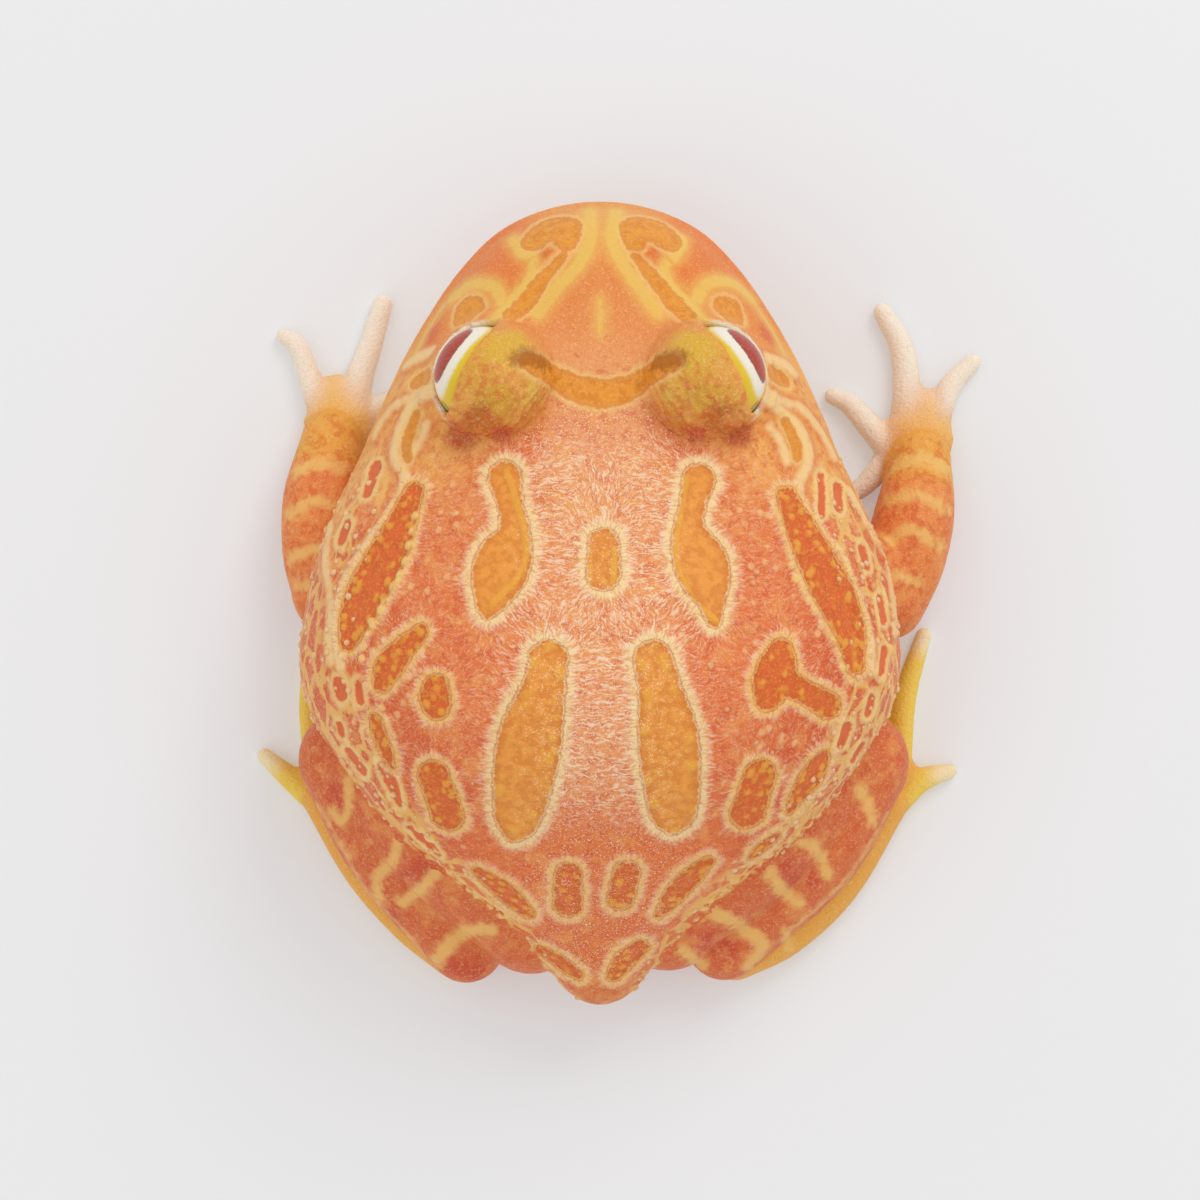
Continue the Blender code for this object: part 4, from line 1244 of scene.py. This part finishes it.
def paint(obj, ground):
    """Keeps at each point how far it is from the markings, and the colours they start from."""
    mesh = obj.data
    settings = bpy.context.scene.frog_skin
    points, edges = points_of(mesh), edges_of(mesh)
    x, y, z = points.T
    shares = part_shares(points, edges)
    for name in ("hand", "finger"):
        shares[name] = spread(shares[name], edges, 25)
    _, above = trunk_values(points)
    trunk = ramp(shares["trunk"] + shares["lid"], 0.2, 0.8)
    limbs = 1 - trunk

    spot, way, kind = spot_fields(points, ground)
    fills, rims = (
        np.array([linear(colour) for colour in pair])
        for pair in ((settings.gold, settings.ember), (settings.halo, settings.ember_halo))
    )
    turn = np.arctan2(way[:, 1], way[:, 0])
    flow = spread(np.stack((np.cos(2 * turn), np.sin(2 * turn)), axis=1), edges, 6)
    heads, folds, cells, patches, blotches, bars = (
        nearest_chain(points, chains, ground)[0]
        for chains in (HEAD_LINES, FOLD_LINES, FLANK_CELLS, PATCHES, BLOTCHES, LIMB_BARS)
    )

    put(mesh, "spot", spot + FAR * limbs)
    put(mesh, "halo", np.array(HALO_WIDTHS)[kind])
    put(mesh, "fill", fills[kind])
    put(mesh, "rim", rims[kind])
    put(mesh, "gilt", gilt_share(points, spot, kind, ground) * trunk)
    put(mesh, "flow", flow)
    put(mesh, "bar", 0.6 * bars + FAR * trunk)
    put(mesh, "bead", bead_shares(points, ground) * trunk)
    warts = wart_share(points, wart_height(points, trunk))
    put(mesh, "wart", warts * (1 - shares["foot"]) * ramp(spot, -0.5, 0.8))
    names = ("line", "fold", "cell", "patch", "blotch")
    for name, values in zip(names, (heads, folds - 0.15, cells, patches, blotches)):
        put(mesh, name, values + FAR * limbs)
    colours = ground_colours(points, shares, above, ground)
    put(mesh, "ground", colours)

    # Streaks are strongest across the middle of the back, and the net covers the flanks
    back = ramp(y, -24, -16) * ramp(y, 32, 22) * trunk
    streaks = 0.4 + 0.6 * ramp(np.abs(x), 17, 5)
    put(mesh, "streaks", back * streaks)
    ys, rows = section_table()
    low_edge = 0.8 * np.interp(y, ys, rows[:, 0])
    flank = ramp(np.abs(x), low_edge - 1.5, low_edge + 1.5) * ramp(y, -20, -10) * trunk * ramp(above, -9, -5)
    put(mesh, "net", flank)
    plain = np.clip(shares["hand"] + shares["finger"] + shares["toe"] + ramp(above, -3, -7) * trunk, 0, 1)
    put(mesh, "mottle", (1 - plain) * (1 - 0.25 * ramp(y, -26, -32)) * (1 - 0.45 * shares["foot"]))
    # Painted glints: where pale flecks that stand for the wet sheen on the granules may show. They are most
    # over the middle of the back, less on the front of the head and on the lids, and absent on the orange
    # patches
    sparkle = trunk * ramp(above, 0, 6) * (0.6 + 0.4 * ramp(np.abs(x), 20, 6))
    sparkle *= 0.7 + 0.3 * ramp(y, -30, -24)
    sparkle *= 1 - 0.15 * shares["lid"]
    put(mesh, "sparkle", sparkle * ramp(patches, -0.3, 0.2))

    # Small beads stand on the net and here and there on the back
    sparse = 0.05 * ramp(np.abs(x), 8, 16) * ramp(spot, 0.9, 1.6) * ramp(y, -16, -8)
    put(mesh, "bead_share", np.maximum(flank * 0.3, sparse * trunk) * ramp(z, 4, 6))
    cream = np.array(linear(settings.bead))
    put(mesh, "tint", colours + (0.3 + 0.35 * flank)[:, None] * (cream - colours))


def layered(tree, base, layers):
    """Lays colours over one another, each fading in as its value goes from one number to another."""
    for value, start, end, strength, colour in layers:
        share = add(
            tree,
            "ShaderNodeMapRange",
            {"Value": value, "From Min": start, "From Max": end, "To Max": strength},
            interpolation_type="SMOOTHSTEP",
        )
        if not isinstance(colour, bpy.types.Node):
            colour = (*linear(colour), 1)
        base = add(tree, "ShaderNodeMix", (share, base, colour), data_type="RGBA")
    return base


def new_material(name, values):
    """A material, its node tree and its shader with the values that are the same all over it."""
    material = bpy.data.materials.new(name)
    material.use_nodes = True
    shader = material.node_tree.nodes["Principled BSDF"]
    for socket_name, value in values.items():
        shader.inputs[socket_name].default_value = value
    return material, material.node_tree, shader


# Grain of the skin in mm
STREAK_LENGTH = 1.25
STREAK_WIDTH = 0.22
GRANULE_SIZE = 0.42
NET_CELL = (3.0, 5.4, 3.4)
BEND_SIZE = 1.5
BEND_REACH = 1.3


def skin_material(settings):
    """Moist warty skin. It gives the eye fine grain, pale streaks, ringed spots and small pale glints painted
    into its colour.
    """
    values = {
        "Roughness": 0.45,
        "Specular IOR Level": 0.16,
        "Subsurface Weight": 0.12,
        "Subsurface Radius": (1.0, 0.45, 0.25),
        "Subsurface Scale": 1.2 * MM,
    }
    material, tree, shader = new_material("moist_warty_skin", values)
    node = partial(add, tree)
    place = node("ShaderNodeTexCoord").outputs["Object"]
    mm = node("ShaderNodeVectorMath", {"Vector": place, "Scale": 1 / MM}, operation="SCALE")
    names = "spot halo fill rim gilt line fold cell bar bead wart patch blotch"
    names += " ground streaks net mottle sparkle"
    kept = {name: node("ShaderNodeAttribute", attribute_name=name) for name in names.split()}

    # Streaks run out from the spots: four stretched noises, each shown where the flow lies its way
    bend = node("ShaderNodeTexNoise", {"Vector": mm, "Scale": 1 / BEND_SIZE, "Detail": 1.0})
    bent = (bend.outputs["Color"], (BEND_REACH,) * 3, mm)
    wavy = node("ShaderNodeVectorMath", bent, operation="MULTIPLY_ADD")
    flow = node("ShaderNodeAttribute", attribute_name="flow").outputs["Vector"]
    split = node("ShaderNodeSeparateXYZ", {"Vector": flow})
    streak, weights = 0.0, 0.0
    for turn, part, sign in ((0, 0, 1), (45, 1, 1), (90, 0, -1), (135, 1, -1)):
        size = {"Rotation": (0, 0, radians(turn)), "Scale": (STREAK_LENGTH, STREAK_WIDTH, 1.1)}
        turned = node("ShaderNodeMapping", {"Vector": wavy, **size}, vector_type="TEXTURE")
        fibre = {"Vector": turned, "Scale": 1.0, "Detail": 2.0, "Roughness": 0.55}
        grain = node("ShaderNodeTexNoise", fibre)
        toward = node("ShaderNodeMath", (split.outputs[part], sign), operation="MULTIPLY")
        weight = node("ShaderNodeMath", (toward, 0.03), operation="MAXIMUM")
        streak = node("ShaderNodeMath", (grain, weight, streak), operation="MULTIPLY_ADD")
        weights = node("ShaderNodeMath", (weight, weights), operation="ADD")
    streak = node("ShaderNodeMath", (streak, weights), operation="DIVIDE")

    noises = {}
    grains = (("grain", 0.2, 1.0), ("fine", 0.42, 3.0), ("patchy", 1.1, 3.0), ("broad", 3.0, 2.0))
    for name, size, detail in grains:
        noises[name] = node("ShaderNodeTexNoise", {"Vector": mm, "Scale": 1 / size, "Detail": detail})
    granule = node("ShaderNodeTexVoronoi", {"Vector": mm, "Scale": 1 / GRANULE_SIZE}, feature="F1")
    net_place = node("ShaderNodeMapping", {"Vector": wavy, "Scale": NET_CELL}, vector_type="TEXTURE")
    net_edge = node("ShaderNodeTexVoronoi", {"Vector": net_place, "Scale": 1.0}, feature="DISTANCE_TO_EDGE")

    # A marking's edge wanders by up to a quarter of a millimetre
    wobble = node("ShaderNodeMath", (noises["fine"], 0.5, -0.25), operation="MULTIPLY_ADD")
    wobble = node("ShaderNodeMath", (noises["patchy"], 0.9, wobble), operation="MULTIPLY_ADD")
    wobble = node("ShaderNodeMath", (wobble, -0.45), operation="ADD")
    shares = {"spot": 1, "line": 0.6, "fold": 0.5, "cell": 0.7, "bar": 1, "patch": 1, "blotch": 2}
    spot, line, fold, cell, bar, patch, blotch = (
        node("ShaderNodeMath", (wobble, share, kept[name]), operation="MULTIPLY_ADD")
        for name, share in shares.items()
    )
    reach = node("ShaderNodeMath", (spot, kept["halo"]), operation="DIVIDE")
    frayed = node("ShaderNodeMath", (streak, -2.6, reach), operation="MULTIPLY_ADD")
    outline = node("ShaderNodeMath", (spot, 0.08), operation="SUBTRACT")
    outline = node("ShaderNodeMath", (outline,), operation="ABSOLUTE")
    outline = node("ShaderNodeMath", (noises["patchy"], -0.3, outline), operation="MULTIPLY_ADD")

    pale_streak, groove, ringed, net_line = (
        node(
            "ShaderNodeMapRange",
            {"Value": value, "From Min": start, "From Max": end},
            interpolation_type="SMOOTHSTEP",
        )
        for value, start, end in (
            (streak, 0.43, 0.66), (streak, 0.52, 0.4), (reach, 1.4, 0.6), (net_edge, 0.16, 0.05)
        )
    )
    red, yellow, streaked, lacy, grooves, painted_glint_share = (
        node("ShaderNodeMath", pair, operation="MULTIPLY")
        for pair in (
            (noises["patchy"], kept["mottle"]),
            (noises["broad"], kept["mottle"]),
            (pale_streak, kept["streaks"]),
            (net_line, kept["net"]),
            (groove, ringed),
            (noises["grain"], kept["sparkle"]),
        )
    )
    painted_glint_share = node("ShaderNodeMath", (noises["patchy"], 0.35, painted_glint_share), operation="MULTIPLY_ADD")

    grainy = layered(
        tree,
        (*linear("EA9A32"), 1),
        (
            (noises["patchy"], 0.56, 0.4, 0.45, "CC7428"),
            (noises["fine"], 0.5, 0.66, 0.5, "F2B45A"),
        ),
    )
    inside = layered(
        tree,
        kept["fill"],
        (
            (spot, -1.3, -0.2, 0.35, "C86E30"),
            (noises["patchy"], 0.56, 0.4, 0.3, "C05A2A"),
            (noises["fine"], 0.52, 0.66, 0.35, settings.gilt),
            (granule.outputs["Distance"], 0.3, 0.1, 0.3, "F2BE66"),
            (kept["gilt"], 0.15, 0.85, 0.7, settings.gilt),
        ),
    )
    base = layered(
        tree,
        kept["ground"],
        (
            (red, 0.46, 0.62, 0.42, "CF4A28"),
            (yellow, 0.5, 0.66, 0.35, "F2AC5C"),
            (noises["fine"], 0.54, 0.68, 0.22, "FBD9A8"),
            # Fine pale flecks: partly the skin's own pale grain, partly painted glints on its granules
            (noises["grain"], 0.56, 0.7, 0.22, "FDDCA6"),
            (noises["grain"], 0.44, 0.32, 0.2, "C85A28"),
            (streaked, 0.0, 1.0, 0.7, settings.streak),
            (lacy, 0.0, 1.0, 0.8, "EFBE6C"),
            (kept["wart"], 0.2, 0.75, 0.5, "F8CC90"),
            (fold, 1.8, 0.4, 0.4, "DC6C3C"),
            (cell, 1.0, 0.3, 0.75, "F1CC86"),
            (cell, 0.15, -0.15, 0.9, settings.cell),
            (fold, 0.55, -0.2, 0.85, "F4D194"),
            (line, 1.6, -0.2, 0.55, settings.line),
            (patch, 0.95, 0.15, 0.65, "F2C87A"),
            (line, 0.25, -0.3, 0.8, settings.line),
            (patch, 0.15, -0.1, 0.65, "D6782C"),
            (patch, -0.1, -0.5, 0.85, grainy),
            (blotch, 0.5, -0.6, 0.7, "A45A16"),
            (bar, 0.35, -0.35, 0.8, "EFC070"),
            (frayed, 0.1, -1.0, 0.5, settings.streak),
            (reach, 1.0, 0.2, 0.85, kept["rim"]),
            (grooves, 0.0, 1.0, 0.5, "DE9450"),
            (spot, 0.0, -0.3, 1.0, inside),
            (outline, 0.04, -0.14, 0.6, settings.outline),
            (kept["bead"], 0.25, 0.8, 0.8, "F3CE80"),
            # Painted highlight: pale flecks in the colour that stand for glints of wet sheen
            (painted_glint_share, 0.78, 0.86, 0.5, "FFEFD0"),
        ),
    )
    height = node("ShaderNodeMath", (granule.outputs["Distance"], -0.7, 0.0), operation="MULTIPLY_ADD")
    for value, part in ((streak, 0.9), (lacy, 0.5), (noises["fine"], 0.5)):
        height = node("ShaderNodeMath", (value, part, height), operation="MULTIPLY_ADD")
    relief = node("ShaderNodeBump", {"Strength": 0.4, "Distance": 0.3 * MM, "Height": height})
    tree.links.new(next(out for out in base.outputs if out.enabled), shader.inputs["Base Color"])
    tree.links.new(relief.outputs["Normal"], shader.inputs["Normal"])
    return material


def bead_material():
    """Wet tubercle. It gives the eye a smooth pale bead, a little darker in places."""
    values = {
        "Roughness": 0.35,
        "Specular IOR Level": 0.3,
        "Subsurface Weight": 0.1,
        "Subsurface Scale": 1.0 * MM,
    }
    material, tree, shader = new_material("wet_tubercle", values)
    place = add(tree, "ShaderNodeTexCoord").outputs["Object"]
    mottle = add(tree, "ShaderNodeTexNoise", {"Vector": place, "Scale": 1 / (0.5 * MM), "Detail": 2.0})
    tint = add(tree, "ShaderNodeAttribute", attribute_name="tint")
    colour = layered(tree, tint, ((mottle, 0.5, 0.65, 0.35, "E08A4A"), (mottle, 0.5, 0.35, 0.2, "FBEBCB")))
    tree.links.new(colour.outputs[2], shader.inputs["Base Color"])
    return material


def skin_nodes():
    """The solids of flesh, which the skin stands for."""
    return [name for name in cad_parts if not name.startswith("eye_")]


class FROG_OT_skin(Operator):
    """Builds the skin and stands it in for the solids of flesh"""

    bl_idname = "frog.skin"
    bl_label = "Skin"

    def execute(self, context):
        settings = context.scene.frog_skin
        skin = melted(body_shells(), settings.voxel)
        smoothed(skin)
        ground = Ground(skin.data)
        sculpt(skin, ground, settings)
        thinned(skin, settings.triangles)
        paint(skin, ground)
        skin.data.materials.clear()
        skin.data.materials.append(skin_material(settings))
        skin.data.shade_smooth()
        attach(skin, "root")
        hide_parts(*skin_nodes())
        return {"FINISHED"}


# Small beads: most of them tried on a square millimetre, and the fineness and height of each
BEAD_DENSITY = 4
BEAD_SEGMENTS = 8
BEAD_RINGS = 4
BEAD_FLATNESS = 0.75


def bead_tree():
    """Sets small domes upright on a surface, spaced apart, where its bead_share lets them stand."""
    tree = bpy.data.node_groups.new("beads", "GeometryNodeTree")
    node = partial(add, tree)
    for name, kind in (
        ("Surface", "Geometry"),
        ("Spacing", "Float"),
        ("Smallest", "Float"),
        ("Largest", "Float"),
        ("Seed", "Int"),
        ("Material", "Material"),
    ):
        tree.interface.new_socket(name, in_out="INPUT", socket_type=f"NodeSocket{kind}")
    tree.interface.new_socket("Beads", in_out="OUTPUT", socket_type="NodeSocketGeometry")
    given = node("NodeGroupInput").outputs
    share = node("GeometryNodeInputNamedAttribute", {"Name": "bead_share"}, data_type="FLOAT")
    scattered = node(
        "GeometryNodeDistributePointsOnFaces",
        {
            "Mesh": given["Surface"],
            "Distance Min": given["Spacing"],
            "Density Max": BEAD_DENSITY / MM**2,
            "Density Factor": share.outputs["Attribute"],
            "Seed": given["Seed"],
        },
        distribute_method="POISSON",
    )
    size = node(
        "FunctionNodeRandomValue",
        {0: given["Smallest"], 1: given["Largest"], "Seed": given["Seed"]},
        data_type="FLOAT",
    )
    dome = node("GeometryNodeMeshUVSphere", {"Segments": BEAD_SEGMENTS, "Rings": BEAD_RINGS, "Radius": 1.0})
    flat = node("GeometryNodeTransform", {"Geometry": dome, "Scale": (1.0, 1.0, BEAD_FLATNESS)})
    placed = node(
        "GeometryNodeInstanceOnPoints",
        {
            "Points": scattered.outputs["Points"],
            "Instance": flat,
            "Rotation": scattered.outputs["Rotation"],
            "Scale": size.outputs[1],
        },
    )
    real = node("GeometryNodeRealizeInstances", {"Geometry": placed})
    dressed = node("GeometryNodeSetMaterial", {"Geometry": real, "Material": given["Material"]})
    end = node("NodeGroupOutput")
    tree.links.new(dressed.outputs["Geometry"], end.inputs["Beads"])
    return tree


class FROG_OT_beads(Operator):
    """Scatters small raised beads over the net of the flanks, and a few over the back"""

    bl_idname = "frog.beads"
    bl_label = "Beads"

    def execute(self, context):
        settings = context.scene.frog_skin
        values = {
            "Spacing": settings.bead_spacing * MM,
            "Smallest": settings.bead_radius * 0.4 * MM,
            "Largest": settings.bead_radius * MM,
            "Seed": SEED,
            "Material": bead_material(),
        }
        obj = shown("beads", bpy.data.objects["skin"].data)
        applied(obj, "NODES", values, node_group=bead_tree())
        obj.data.name = "beads"
        obj.data.shade_smooth()
        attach(obj, "root")
        return {"FINISHED"}


def eye_material(settings):
    """Wet eye. It gives a brick-red pupil in a cream and yellow iris under a clear, sharp gloss."""
    values = {
        "Roughness": 0.3,
        "Specular IOR Level": 0.15,
        "Coat Weight": 0.12,
        "Coat Roughness": 0.05,
        "Coat IOR": 1.3,
    }
    material, tree, shader = new_material("wet_eye", values)
    node = partial(add, tree)
    where = node("ShaderNodeAttribute", attribute_name="gaze").outputs["Vector"]
    place = node("ShaderNodeTexCoord").outputs["Object"]
    mottle = node("ShaderNodeTexNoise", {"Vector": place, "Scale": 1 / (0.4 * MM), "Detail": 3.0})
    parts = node("ShaderNodeSeparateXYZ", {"Vector": where})
    shift = node("ShaderNodeMath", (mottle, 0.12, -0.06), operation="MULTIPLY_ADD")
    ring, rim, rear = (
        node("ShaderNodeMath", (parts.outputs[i], shift), operation="ADD") for i in range(3)
    )
    colour = layered(
        tree,
        (*linear(settings.pupil), 1),
        (
            (ring, 0.95, 1.0, 0.8, "8E8478"),
            (ring, 1.0, 1.06, 1.0, settings.iris),
            (mottle, 0.5, 0.7, 0.12, "C8BFA6"),
            (rim, 0.92, 1.1, 1.0, settings.iris_edge),
            (rear, 0.75, 1.0, 0.8, "A09A5C"),
        ),
    )
    tree.links.new(colour.outputs[2], shader.inputs["Base Color"])
    return material


# Degrees on the eyeball, across from the way it looks and up from the level
PUPIL_CENTRE = (-4.0, 19.0)
PUPIL_REACH = (41.0, 24.0)
IRIS_REACH = (60.0, 37.0)
REAR_CORNER = (69.0, 11.0)
REAR_REACH = 16.0
EYE_SEGMENTS = 96
EYE_RINGS = 64


class FROG_OT_eyes(Operator):
    """Makes the two eyeballs finer, with the pupil's place kept at each point"""

    bl_idname = "frog.eyes"
    bl_label = "Eyes"

    def execute(self, context):
        material = eye_material(context.scene.frog_eyes)
        for side_name, side in (("left", 1), ("right", -1)):
            centre = mirrored(EYE_CENTRE, side)
            size = Vector((EYE_RADIUS,) * 3)
            eye = ball(f"eyeball_{side_name}", centre, size, eye_turn(side), EYE_SEGMENTS, EYE_RINGS)
            level = Euler((0, 0, radians(-EYE_FORWARD if side > 0 else 180 + EYE_FORWARD))).to_matrix()
            ways = (points_of(eye.data) - np.array(centre)) / EYE_RADIUS @ np.array(level)
            across = side * np.degrees(np.arctan2(ways[:, 1], ways[:, 0]))
            up = np.degrees(np.arcsin(np.clip(ways[:, 2], -1, 1)))
            rings = [
                np.hypot((across - PUPIL_CENTRE[0]) / reach[0], (up - PUPIL_CENTRE[1]) / reach[1])
                for reach in (PUPIL_REACH, IRIS_REACH)
            ]
            rear = 1.5 - np.hypot(across - REAR_CORNER[0], up - REAR_CORNER[1]) / REAR_REACH
            put(eye.data, "gaze", np.stack((*rings, rear), axis=1))
            eye.data.materials.append(material)
            eye.data.shade_smooth()
            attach(eye, "root")
            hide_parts(f"eye_{side_name}")
        return {"FINISHED"}


FLOOR_GLOW = 0.38


def floor_material(colour):
    """Matt paper sweep. It gives a plain pale ground with only soft shadows."""
    shade = (*linear(colour), 1)
    values = {
        "Base Color": shade,
        "Roughness": 0.9,
        "Specular IOR Level": 0.1,
        "Emission Color": shade,
        "Emission Strength": FLOOR_GLOW,
    }
    return new_material("matt_paper", values)[0]


# Lights: name, place and width in metres, share of the key light's power
LIGHTS = (("key_light", (-0.4, -0.75, 0.75), 0.6, 1.0), ("fill_light", (0.7, 0.5, 0.9), 0.9, 0.3))
FLOOR_REACH = 3.0
SENSOR = 36.0
PHOTO_PIXELS = 1200
FOCAL_PIXELS = 4624
CLIP_END = 20


class FROG_OT_stage(Operator):
    """Lays the floor, hangs the lights and sets the camera straight over the frog"""

    bl_idname = "frog.stage"
    bl_label = "Stage"

    def execute(self, context):
        settings = context.scene.frog_stage
        mesh = bpy.data.meshes.new("floor")
        reach = FLOOR_REACH
        corners = [(-reach, -reach, 0), (reach, -reach, 0), (reach, reach, 0), (-reach, reach, 0)]
        mesh.from_pydata(corners, [], [(0, 1, 2, 3)])
        mesh.materials.append(floor_material(settings.floor))
        shown("floor", mesh)

        world = bpy.data.worlds.new("soft_room")
        context.scene.world = world
        world.use_nodes = True
        background = world.node_tree.nodes["Background"]
        background.inputs["Color"].default_value = (1, 1, 1, 1)
        background.inputs["Strength"].default_value = settings.room_light
        for name, place, size, share in LIGHTS:
            light = bpy.data.lights.new(name, "AREA")
            light.shape = "DISK"
            light.size = size
            light.energy = settings.key_power * share
            lamp = shown(name, light)
            lamp.location = place
            lamp.rotation_euler = (-Vector(place)).to_track_quat("-Z", "Y").to_euler()

        camera = bpy.data.cameras.new("camera")
        camera.sensor_width = SENSOR
        camera.lens = SENSOR * FOCAL_PIXELS / PHOTO_PIXELS
        camera.clip_end = CLIP_END
        eye = shown("camera", camera)
        eye.location = (0, 0, settings.camera_height)
        eye.rotation_euler = (0, 0, pi)
        context.scene.camera = eye
        context.scene.view_settings.view_transform = "Standard"
        return {"FINISHED"}


OPERATORS = (FROG_OT_skin, FROG_OT_beads, FROG_OT_eyes, FROG_OT_stage)


class FROG_PT_panel(Panel):
    """Lists the frog's settings and the steps that build it"""

    bl_idname = "FROG_PT_panel"
    bl_label = "Horned Frog"
    bl_space_type = "VIEW_3D"
    bl_region_type = "UI"
    bl_category = "Frog"

    def draw(self, context):
        layout = self.layout
        for group in ("frog_skin", "frog_eyes", "frog_stage"):
            settings = getattr(context.scene, group)
            box = layout.box()
            for name in settings.__annotations__:
                box.prop(settings, name)
        for operator in OPERATORS:
            layout.operator(operator.bl_idname)


CLASSES = (FrogSkinSettings, FrogEyeSettings, FrogStageSettings, *OPERATORS, FROG_PT_panel)


def register():
    for cls in CLASSES:
        bpy.utils.register_class(cls)
    bpy.types.Scene.frog_skin = PointerProperty(type=FrogSkinSettings)
    bpy.types.Scene.frog_eyes = PointerProperty(type=FrogEyeSettings)
    bpy.types.Scene.frog_stage = PointerProperty(type=FrogStageSettings)


def unregister():
    for name in ("frog_skin", "frog_eyes", "frog_stage"):
        delattr(bpy.types.Scene, name)
    for cls in reversed(CLASSES):
        bpy.utils.unregister_class(cls)


def main():
    register()
    bpy.ops.frog.skin()
    bpy.ops.frog.beads()
    bpy.ops.frog.eyes()
    bpy.ops.frog.stage()


if __name__ == "__main__":
    main()
